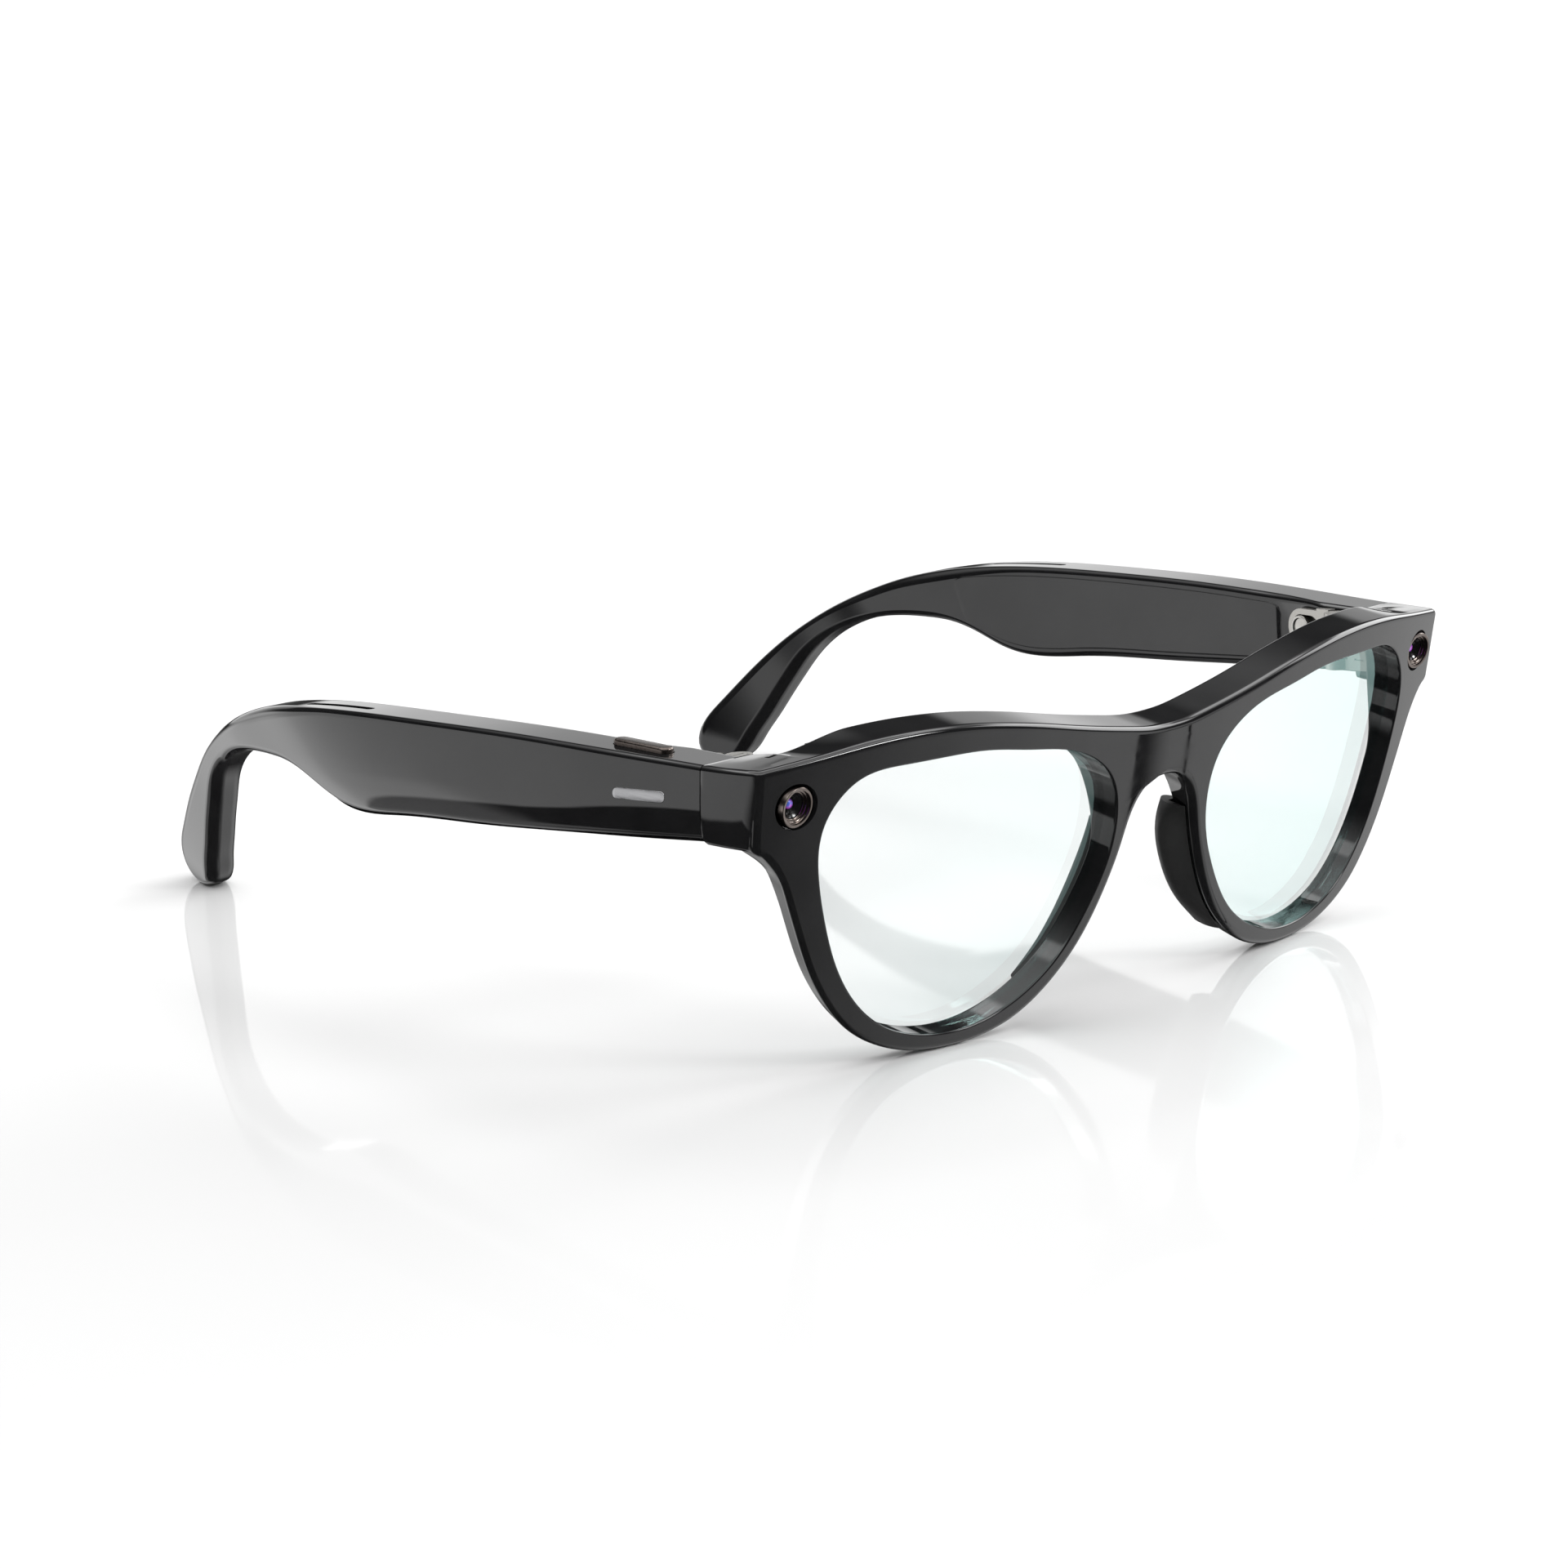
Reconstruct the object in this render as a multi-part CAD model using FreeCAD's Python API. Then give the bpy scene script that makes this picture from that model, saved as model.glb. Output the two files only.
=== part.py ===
"""Smart glasses: front frame, two folding temples, camera modules and electronics.

Frame: +Z up, +X towards the wearer's left, +Y back towards the ears, millimetres.
The origin is on the surface the glasses stand on, under the middle of their box.
Shapes are drawn with Y = 0 at the bottom of the rims and shifted at the end.
"""
import FreeCAD
import Part

import math
import os

V = FreeCAD.Vector
PARTS = {}

# Driving dimensions, millimetres and degrees
LENGTH_SHIFT = 69.95       # from the rim bottoms back to the middle of the box
FRONT_TILT = 7.28          # the front leans forward at the top
FRONT_RADIUS = 300.0       # curve of the front seen from above
RIM_DEPTH = 4.0
BROW_DEPTH = 6.75
BROW_FROM, BROW_TO = 22.0, 35.0     # heights between which the rim thickens
LENS_DEPTH = 2.3           # lens face behind the front of the rim
LENS_THICK = 1.3
PAD_START, PAD_DEPTH = 1.5, 4.9     # nose pad behind the front of the rim
LENS_LIP = 1.0             # how far the lens edge sits in its groove
HINGE_TILT = 4.7           # top of the hinge pin leans back
PIVOT = V(63.6, 15.4, 38.7)
SEAM = -2.75               # joint face, along the temple from the pivot
SEAM_GAP = 0.14
ENDPIECE_INNER = 64.2
PIN_R = 0.6
PIN_CLEARANCE = 0.03
PIN_HEAD_R, PIN_HEAD_H = 1.15, 0.5
KNUCKLE_R = 1.85
KNUCKLE_H = 1.65
KNUCKLE_GAP = 0.08
LEAF_ANGLE = 12.0          # temple leaf follows the flare of the inner face
LEAF_FACE = 0.35           # its inner face from the pin, towards the temple
LEAF_THICK = 1.9
WALL = 1.5                 # temple shell behind its outer face
COVER_THICK = 1.2
COVER_INSET = 1.35
COVER_REST = 1.1           # ledge that the cover lies on
COVER_SPAN = (29.0, 102.5)
CAMERA = V(66.3, 0, 38.1)  # module centre on the front, before the tilt
CAMERA_RECESS_R = 3.15
CAMERA_RECESS_DEPTH = 1.6
CAMERA_RING_R = 2.75
CAMERA_BORE = 4.6          # depth of the seat for the ring behind the front
BUTTON = V(70.7, 26.2, 43.2)
BUTTON_LENGTH, BUTTON_WIDTH, BUTTON_RISE = 10.4, 2.3, 0.85
BUTTON_GAP = 0.12
SLIDER_R = 1.95
SLIDER_GAP = 0.12
SLIDER_TRAVEL = 2.2
SLIDER_PLACE = 8.75        # knob from the pivot along the leaf, switched on
SLIDER_HEIGHT = 0.75
VENT_WIDTH = 1.3
CONTACT_RISE = 0.2          # charging contacts stand out of the brow's back
SLANT = 1.09               # the temple's faces are swept along this slope

# Lens opening seen from the front, right half of a pair
OPENING = [(58.1, 16.0), (59.8, 20.6), (61.5, 26.9), (61.6, 34.9), (56.8, 40.6), (49.5, 41.8),
           (42.6, 42.0), (35.7, 41.9), (28.3, 40.9), (19.4, 39.3), (11.6, 33.9), (10.2, 24.7),
           (13.7, 16.0), (18.5, 9.5), (24.2, 5.3), (34.6, 2.1), (42.6, 2.6), (49.0, 5.0),
           (54.1, 9.4)]
TOP_EDGE = [(0, 40.2), (4, 40.35), (8, 40.9), (14, 41.9), (20, 43.0), (26, 44.15), (32, 45.1),
            (38, 45.8), (44, 46.1), (50, 46.0), (57, 45.4), (64, 44.5), (76, 42.8)]
LOWER_EDGE = [(76, 32.3), (72, 32.2), (70.4, 31.6), (69.2, 30.5), (67.5, 28.0), (65.9, 24.3),
              (64.3, 20.3), (61.6, 14.2), (58.4, 9.1), (54.2, 4.7), (49.5, 2.0), (43.5, 0.2),
              (37.5, -0.3), (31.0, 0.1), (25.0, 1.7), (19.3, 5.2), (15.0, 9.4), (11.6, 14.4),
              (9.2, 19.4), (7.7, 23.5), (6.5, 27.5), (4.9, 30.4), (2.9, 31.9), (0, 32.4)]

# Temple seen from the side: back of the ear bend, then its underside
TEMPLE_TOP = [(2, 43.95), (12, 43.65), (26, 43.27), (46, 42.59), (66, 41.33), (86, 39.57),
              (98, 37.7), (107, 35.4), (116, 31.8), (123, 27.9), (130.8, 22), (136.8, 16),
              (141.8, 10), (144.7, 5.2)]
TEMPLE_TIP = [(144.7, 5.2), (144.6, 2.3), (142.6, 0.4), (139.6, 0.0), (136.4, 0.8),
              (134.5, 2.9), (133.5, 5)]
TEMPLE_UNDER = [(133.5, 5), (131.8, 8), (129.7, 12), (127.5, 16), (125.1, 20), (121.4, 23.8),
                (116.4, 26.6), (109.5, 28.4), (103, 29.0), (97, 28.9), (91.5, 27.7),
                (86.5, 26.2), (81.5, 25.6)]
TEMPLE_FOOT = [(81.5, 25.6), (70, 26.9), (54, 28.7), (38, 30.6), (22, 32.5), (12, 33.7),
               (2, 34.8)]
# Temple seen along its slanted sweep: across, and back from the rim
OUTER_FACE = [(72.3, -50), (73.0, -41.8), (73.67, -31.4), (74.55, -21.2), (75.34, -10.8),
              (75.83, -0.4), (76.21, 10.2), (76.45, 20.9), (76.5, 31.8), (76.3, 42.9),
              (75.5, 54.4), (73.5, 66.7), (71.1, 80), (68.8, 90), (66.6, 100), (64.5, 110),
              (62.6, 120), (60.6, 130), (58.4, 140), (56.4, 148)]
INNER_FACE = [(64.2, -50), (64.3, -36), (64.9, -30), (66.9, -20.8), (67.8, -10.4),
              (68.4, 0.1), (68.85, 10.7), (69.15, 21.5), (69.15, 32.6), (68.7, 43.7),
              (67.5, 55.2), (65.9, 66.7), (64.4, 80), (62.6, 90), (60.8, 100), (58.9, 110),
              (57.1, 120), (55.1, 130), (52.9, 140), (51.0, 148)]


# Small geometry helpers
def spline(points, closed=False):
    curve = Part.BSplineCurve()
    curve.interpolate(points, closed)
    return curve.toShape()


def moved(points, step, closed, outward):
    """The points of a flat outline, each moved by step along its normal."""
    places = [V(a, 0, b) for a, b in points]
    curve = Part.BSplineCurve()
    curve.interpolate(places, closed)
    result = []
    for place in places:
        tangent = curve.tangent(curve.parameter(place))[0]
        normal = V(tangent.z, 0, -tangent.x)
        if normal.dot(outward(place)) < 0:
            normal = normal * -1
        spot = place + normal * step
        result.append((spot.x, spot.z))
    return result


def face_of(edges):
    return Part.Face(Part.Wire(edges))


def box(low, high):
    size = V(*high) - V(*low)
    return Part.makeBox(size.x, size.y, size.z, V(*low))


def rod(start, direction, radius, length):
    return Part.makeCylinder(radius, length, start, direction)


def fuse(shapes):
    whole = shapes[0]
    for shape in shapes[1:]:
        whole = whole.fuse(shape)
    return whole.removeSplitter()


def largest(shape):
    return max(shape.Solids, key=lambda solid: solid.Volume)


def stadium(centre, along, across, direction, length, width, height):
    """A bar with round ends, standing on a plane through centre."""
    half = (length - width) / 2
    radius = width / 2
    ends = [centre - along * half, centre + along * half]
    side = across * radius
    outer = [Part.LineSegment(ends[0] + side, ends[1] + side).toShape(),
             Part.Arc(ends[1] + side, ends[1] + along * radius, ends[1] - side).toShape(),
             Part.LineSegment(ends[1] - side, ends[0] - side).toShape(),
             Part.Arc(ends[0] - side, ends[0] - along * radius, ends[0] + side).toShape()]
    return face_of(outer).extrude(direction * height)


def mirrored(shape):
    return shape.mirror(V(0, 0, 0), V(1, 0, 0))


def keep(name, shape):
    """Store one sub-part in the assembly's own frame."""
    solids = shape.Solids
    shape = solids[0] if len(solids) == 1 else Part.makeCompound(solids)
    PARTS[name] = shape.translated(V(0, -LENGTH_SHIFT, 0))


def keep_pair(name, shape):
    keep(name + "_left", shape)
    keep(name + "_right", mirrored(shape))


# The front's own frame: X across, Y back from the front, Z up the lens
def lean(shape):
    return shape.rotated(V(0, 0, 0), V(1, 0, 0), FRONT_TILT)


def bow(x):
    return FRONT_RADIUS - math.sqrt(FRONT_RADIUS ** 2 - x ** 2)


def layer(front, back):
    """The space between two depths behind the curved front."""
    axis = V(0, FRONT_RADIUS, -30)
    outer = rod(axis, V(0, 0, 1), FRONT_RADIUS - front, 110)
    return outer.cut(rod(axis, V(0, 0, 1), FRONT_RADIUS - back, 110))


def drawn_on_front(points, start=-25, depth=60):
    edge = spline([V(x, start, z) for x, z in points], closed=True)
    return face_of([edge]).extrude(V(0, depth, 0))


def grown(points, step):
    """The points of a closed outline, each moved outwards by step."""
    middle = V(sum(x for x, _ in points), 0, sum(z for _, z in points)) * (1 / len(points))
    return moved(points, step, True, lambda place: place - middle)


def rim_depth(z):
    share = min(1.0, max(0.0, (z - BROW_FROM) / (BROW_TO - BROW_FROM)))
    return RIM_DEPTH + (BROW_DEPTH - RIM_DEPTH) * share * share * (3 - 2 * share)


def behind_front():
    """Everything behind the back of the rims and brow."""
    heights = [-6 + 4 * step for step in range(15)]
    across = [-80 + 10 * step for step in range(17)]
    grid = [[V(x, bow(x) + rim_depth(z), z) for z in heights] for x in across]
    surface = Part.BSplineSurface()
    surface.interpolate(grid)
    return surface.toShape().extrude(V(0, 60, 0))


def front_outline():
    right = [V(-x, -25, z) for x, z in TOP_EDGE[:0:-1]]
    left = [V(x, -25, z) for x, z in TOP_EDGE]
    top = spline(right + left)
    low_left = [V(x, -25, z) for x, z in LOWER_EDGE]
    low_right = [V(-x, -25, z) for x, z in LOWER_EDGE[-2::-1]]
    low = spline(low_left + low_right)
    side_left = Part.LineSegment(left[-1], low_left[0]).toShape()
    side_right = Part.LineSegment(low_right[-1], right[0]).toShape()
    return face_of([top, side_left, low, side_right]).extrude(V(0, 60, 0))


def swept_slab(inner_points, outer_points, inner_step=0.0, outer_step=0.0):
    """The space between two faces that are swept along the temple's slant."""
    inner = [V(x + inner_step, y - SLANT * 10, -10) for x, y in inner_points]
    outer = [V(x - outer_step, y - SLANT * 10, -10) for x, y in outer_points]
    edges = [spline(outer), Part.LineSegment(outer[-1], inner[-1]).toShape(),
             spline(inner), Part.LineSegment(inner[0], outer[0]).toShape()]
    return face_of(edges).extrude(V(0, SLANT, 1) * 65)


def temple_profile():
    runs = [TEMPLE_TOP, TEMPLE_TIP, TEMPLE_UNDER, TEMPLE_FOOT]
    edges = [spline([V(40, y, z) for y, z in run]) for run in runs]
    start, end = TEMPLE_FOOT[-1], TEMPLE_TOP[0]
    edges.append(Part.LineSegment(V(40, *start), V(40, *end)).toShape())
    return face_of(edges).extrude(V(50, 0, 0))


def straight_part(inset, start, end):
    """The temple between hinge and ear bend, seen from the side, drawn in by inset."""
    top = moved(TEMPLE_TOP[1:9], -inset, False, lambda place: V(0, 0, 1))
    low = moved(TEMPLE_UNDER[7:-1] + TEMPLE_FOOT[:-1], -inset, False, lambda place: V(0, 0, -1))
    top_run = [V(40, y, z) for y, z in top]
    low_run = [V(40, y, z) for y, z in low]
    edges = [spline(top_run), Part.LineSegment(top_run[-1], low_run[0]).toShape(),
             spline(low_run), Part.LineSegment(low_run[-1], top_run[0]).toShape()]
    plan = face_of(edges).extrude(V(50, 0, 0))
    return plan.common(box((39, start, 0), (91, end, 60)))


# The hinge's own frame: pin along Z, temple along Y, both leaning back
def at_hinge(shape, turn=0.0):
    shape = shape.rotated(V(0, 0, 0), V(0, 0, 1), turn)
    shape = shape.rotated(V(0, 0, 0), V(1, 0, 0), -HINGE_TILT)
    return shape.translated(PIVOT)


def beyond_seam(gap):
    """The side of the joint face that belongs to the temple."""
    return at_hinge(box((-80, SEAM + gap, -60), (40, 200, 40)))


def knuckle_levels():
    pitch = KNUCKLE_H + KNUCKLE_GAP
    return [(index - 2) * pitch - KNUCKLE_H / 2 for index in range(5)]


def knuckles(levels, bore):
    rings = []
    for low in levels:
        ring = rod(V(0, 0, low), V(0, 0, 1), KNUCKLE_R, KNUCKLE_H)
        rings.append(ring.cut(rod(V(0, 0, low - 1), V(0, 0, 1), bore, KNUCKLE_H + 2)))
    return rings


def webs(levels, low_corner, high_corner, bore):
    bars = []
    for low in levels:
        bar = box((low_corner[0], low_corner[1], low), (high_corner[0], high_corner[1],
                                                       low + KNUCKLE_H))
        bars.append(bar.cut(rod(V(0, 0, low - 1), V(0, 0, 1), bore, KNUCKLE_H + 2)))
    return bars


def hinge():
    levels = knuckle_levels()
    front_levels, temple_levels = levels[0::2], levels[1::2]
    reach = 2.5 * KNUCKLE_H + 2 * KNUCKLE_GAP
    plate_x = ENDPIECE_INNER - PIVOT.x
    bed_y = (-6.3, SEAM + 0.55)

    bed = box((plate_x - 1.1, bed_y[0], -reach), (plate_x, bed_y[1], reach))
    arms = webs(front_levels, (plate_x - 1.1, bed_y[0]), (plate_x, 0), PIN_R)
    front_leaf = fuse([bed] + arms + knuckles(front_levels, PIN_R))
    screws = []
    for height in (-2.6, 2.6):
        spot = V(plate_x, -4.4, height)
        shank = rod(spot - V(0.6, 0, 0), V(1, 0, 0), 0.55, 3.2)
        head = rod(spot - V(1.1, 0, 0), V(1, 0, 0), 1.0, 0.5)
        slot = box((spot.x - 1.2, spot.y - 0.8, height - 0.12),
                   (spot.x - 0.85, spot.y + 0.8, height + 0.12))
        screws.append(fuse([shank, head]).cut(slot))
    screw_room = [rod(V(plate_x - 0.6, -4.4, h), V(1, 0, 0), 0.55, 3.2) for h in (-2.6, 2.6)]
    head_room = [rod(V(plate_x - 1.3, -4.4, h), V(1, 0, 0), 1.0, 0.7) for h in (-2.6, 2.6)]
    pin_head_room = rod(V(0, 0, reach - PIN_HEAD_H - 0.05), V(0, 0, 1), PIN_HEAD_R + 0.05, 1.0)
    for room in screw_room + head_room + [pin_head_room]:
        front_leaf = front_leaf.cut(room)

    # Temple leaf lies against the flared inner face, turned about the pin
    bore = PIN_R + PIN_CLEARANCE
    back = LEAF_FACE + LEAF_THICK
    plate = fuse([box((LEAF_FACE, 2.3, -4.4), (back, 5.0, 4.4)),
                  box((LEAF_FACE, 4.0, -1.85), (back, SLIDER_PLACE, 4.05)),
                  rod(V(LEAF_FACE, SLIDER_PLACE, 1.1), V(1, 0, 0), 2.95, LEAF_THICK)])
    arms = webs(temple_levels, (LEAF_FACE, 0), (LEAF_FACE + 1.0, 2.5), bore)
    temple_leaf = fuse([plate] + arms + knuckles(temple_levels, bore))

    # The pin's slotted head is let into the top knuckle
    pin = rod(V(0, 0, -reach - 0.02), V(0, 0, 1), PIN_R, 2 * reach - 0.1)
    head = rod(V(0, 0, reach - PIN_HEAD_H), V(0, 0, 1), PIN_HEAD_R, PIN_HEAD_H)
    cross = box((-0.9, -0.12, reach - 0.25), (0.9, 0.12, reach + 0.6))
    pin = fuse([pin, head]).cut(cross)
    return front_leaf, screws, screw_room, temple_leaf, plate, pin


def slider_parts():
    """Knob, its window in the leaf, and the switch that its stem moves."""
    centre_on = V(LEAF_FACE + 1.0, SLIDER_PLACE, 1.1)
    middle = centre_on - V(0, SLIDER_TRAVEL / 2, 0)
    back, up, inwards = V(0, 1, 0), V(0, 0, 1), V(-1, 0, 0)
    window = stadium(middle + V(0.2, 0, 0), back, up, inwards,
                     SLIDER_TRAVEL + 2 * (SLIDER_R + SLIDER_GAP),
                     2 * (SLIDER_R + SLIDER_GAP), 1.5)
    stem_slot = stadium(middle + V(1.9, 0, 0), back, up, inwards,
                        SLIDER_TRAVEL + 1.5, 1.5, 2.4)
    knob = rod(centre_on - V(0.05, 0, 0), inwards, SLIDER_R, SLIDER_HEIGHT + 0.55)
    grip = rod(centre_on - V(SLIDER_HEIGHT + 0.4, 0, 0), inwards, SLIDER_R - 0.5, 0.3)
    stem = rod(centre_on + V(2.3, 0, 0), inwards, 0.6, 2.5)
    knob = fuse([knob.cut(grip), stem])
    return knob, window, stem_slot


# Front assembly
def front_pieces():
    plug = drawn_on_front(OPENING)
    lens = drawn_on_front(grown(OPENING, LENS_LIP))
    lens = lens.common(layer(LENS_DEPTH, LENS_DEPTH + LENS_THICK))
    front_cut = layer(-60, 0)

    body = front_outline().cut(front_cut).cut(behind_front())
    for part in (plug, lens):
        body = body.cut(part).cut(mirrored(part))
    body = lean(largest(body))

    # End blocks run back to the joint face and share the temples' outer face
    inner_wall = [(ENDPIECE_INNER, y) for y in (-60, -40, 0)]
    block = temple_profile().common(swept_slab(inner_wall, OUTER_FACE[:7]))
    block = block.cut(beyond_seam(0)).cut(lean(front_cut))
    outside = swept_slab([(x + 12, y) for x, y in OUTER_FACE], OUTER_FACE)
    body = body.cut(outside).cut(mirrored(outside))
    body = fuse([body, block, mirrored(block)])

    # Camera recess and bore
    face = bow(CAMERA.x)
    recess = rod(V(CAMERA.x, -20, CAMERA.z), V(0, 1, 0), CAMERA_RECESS_R,
                 20 + face + CAMERA_RECESS_DEPTH)
    bore = rod(V(CAMERA.x, 0, CAMERA.z), V(0, 1, 0), CAMERA_RING_R, face + CAMERA_BORE)
    chamber = box((CAMERA.x - 2.9, face + CAMERA_BORE, CAMERA.z - 3),
                  (CAMERA.x + 2.9, face + CAMERA_BORE + 1.5, CAMERA.z + 3))
    for part in (recess, bore, chamber):
        body = body.cut(lean(part)).cut(mirrored(lean(part)))
    camera_pieces()

    # Channel along the back of the brow, closed by the rear cover
    flex_level = LENS_DEPTH + LENS_THICK + 0.6
    channel = brow_band(1.1, 2.7).common(layer(flex_level, 30))
    channel = channel.common(box((-60, -30, 0), (60, 60, 60)))
    body = body.cut(lean(channel))
    cover = channel.common(layer(BROW_DEPTH - 1.0, BROW_DEPTH))
    flex = brow_band(1.3, 2.5).common(layer(flex_level, flex_level + 0.3))
    flex = flex.common(box((-57, -30, 0), (57, 60, 60)))
    keep("brow_rear_cover", lean(cover))
    keep("bridge_flex_circuit", lean(flex))

    # Charging contacts behind the bridge and microphones in the brow
    contacts = []
    for x in (-3.0, 0.0, 3.0):
        spot = V(x, bow(x) + BROW_DEPTH - 1.6, 35.3)
        contacts.append(rod(spot, V(0, 1, 0), 0.8, 1.6 + CONTACT_RISE))
    for contact in contacts:
        body = body.cut(lean(contact))
    keep("charging_contacts", Part.makeCompound([lean(part) for part in contacts]))
    mics = []
    for x in (-13.2, 13.2):
        mics.append(box((x - 1.3, bow(x) + 4.6, 39.0), (x + 1.3, bow(x) + 5.5, 40.4)))
    for mic in mics:
        x = mic.CenterOfMass.x
        port = box((x - 0.9, bow(x) + 4.8, 40.4), (x + 0.9, bow(x) + 5.3, 45))
        body = body.cut(lean(mic)).cut(lean(port))
    keep("brow_microphones", Part.makeCompound([lean(mic) for mic in mics]))

    pad = nose_pad().cut(body)
    keep_pair("lens", lean(lens))
    keep_pair("nose_pad", largest(pad))
    return body


def brow_band(top_step, low_step):
    """A strip that follows the brow's top edge, between two distances below it."""
    def row(step):
        half = [(x, z - step) for x, z in TOP_EDGE[:-1]]
        return [V(-x, -25, z) for x, z in half[:0:-1]] + [V(x, -25, z) for x, z in half]
    high, low = row(top_step), row(low_step)
    edges = [spline(high), Part.LineSegment(high[-1], low[-1]).toShape(), spline(low),
             Part.LineSegment(low[0], high[0]).toShape()]
    return face_of(edges).extrude(V(0, 60, 0))


def nose_pad():
    """A soft insert along the nose side of the rim, fullest at half height."""
    # height, edge of the rim, fullest point and back corner of the pad
    levels = [(5.0, 19.2, 18.6, 19.4), (9.0, 15.2, 13.5, 14.9), (14.5, 11.5, 8.6, 10.6),
              (20.0, 8.9, 5.7, 7.9), (23.5, 7.7, 5.0, 7.5), (26.2, 6.9, 5.9, 7.7)]
    wires = []
    for z, outer, full, back in levels:
        front = bow(outer) + PAD_START
        points = [V(outer + 1.6, front, z), V(outer + 0.15, front, z),
                  V((outer + full) / 2 - 0.2, front + 1.2, z),
                  V(full, front + 2.7, z), V(back, front + PAD_DEPTH, z),
                  V(outer + 2.0, front + PAD_DEPTH - 0.9, z)]
        curve = spline(points[1:])
        wires.append(Part.Wire([Part.LineSegment(points[0], points[1]).toShape(), curve,
                                Part.LineSegment(points[-1], points[0]).toShape()]))
    return lean(Part.makeLoft(wires, True, False))


def camera_pieces():
    """Stepped metal ring, coated front lens and sensor board, one set per side."""
    back = V(0, 1, 0)
    face = bow(CAMERA.x)
    start = V(CAMERA.x, face, CAMERA.z)
    ring = rod(start - back * 0.25, back, CAMERA_RING_R, 4.85)
    steps = [(2.3, -0.3, 0.45), (2.0, 0.15, 0.35), (1.75, 0.5, 4.2)]
    for radius, depth, length in steps:
        ring = ring.cut(rod(start + back * depth, back, radius, length))
    barrel = rod(start + back * 1.0, back, 1.75, 3.4)
    barrel = barrel.cut(Part.makeCone(1.6, 0.9, 1.2, start + back * 0.99, back))
    eye = rod(start + back * 2.19, back, 0.9, 1.0)
    barrel = barrel.cut(eye)
    board = box((start.x - 2.8, face + 4.62, start.z - 2.9), (start.x + 2.8, face + 5.7,
                                                              start.z + 2.9))
    keep_pair("camera_ring", lean(ring))
    keep_pair("camera_barrel", lean(barrel))
    keep_pair("camera_eye", lean(eye))
    keep_pair("camera_sensor", lean(board))


# Temple assembly, drawn on the wearer's left and mirrored
def temple_pieces():
    front_leaf, screws, screw_room, leaf, plate, pin = hinge()
    keep_pair("hinge_front_leaf", at_hinge(front_leaf))
    keep_pair("hinge_screws", Part.makeCompound([at_hinge(screw) for screw in screws]))
    keep_pair("hinge_pin", at_hinge(pin))

    body = temple_profile().common(swept_slab(INNER_FACE, OUTER_FACE))
    body = body.common(beyond_seam(SEAM_GAP))
    knuckle_room = at_hinge(rod(V(0, 0, -7), V(0, 0, 1), KNUCKLE_R + 0.25, 14))
    body = body.cut(knuckle_room)

    behind_cover = [(x + 20, y) for x, y in OUTER_FACE]
    cover_zone = swept_slab(INNER_FACE, OUTER_FACE)
    cover_zone = cover_zone.cut(swept_slab(INNER_FACE, behind_cover, COVER_THICK))
    start, end = COVER_SPAN
    cover = largest(straight_part(COVER_INSET, start, end).common(cover_zone))
    cavity = straight_part(COVER_INSET + COVER_REST, start + COVER_REST, end - COVER_REST)
    cavity = cavity.common(swept_slab(INNER_FACE, OUTER_FACE, COVER_THICK, WALL))
    shell = body.cut(cover).cut(cavity)

    shell = shell.cut(vent_bar(-1.5, 5.2))
    return shell, cover, at_hinge(leaf, -LEAF_ANGLE), at_hinge(plate, -LEAF_ANGLE)


def vent_bar(drop, depth):
    """A bar along the sound slot in the top face, from drop below its surface."""
    start, end = V(73.3, 78.3, 40.45), V(72.7, 93.3, 38.5)
    along = (end - start).normalize()
    across = V(0, 0, 1).cross(along).normalize()
    down = along.cross(across).normalize()
    if down.z > 0:
        down = down * -1
    middle = (start + end) * 0.5 + down * drop
    return stadium(middle, along, across, down, (end - start).Length, VENT_WIDTH, depth)


def badge_bar():
    """Plain metal inlay in the outer face near the hinge."""
    along = V(0.075, 1, -0.08).normalize()
    across = V(0, 0.08, 1).normalize()
    out = along.cross(across).normalize()
    centre = V(73.15, 23.0, 38.2)
    return stadium(centre, along, across, out, 9.0, 1.5, 1.35)


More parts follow.
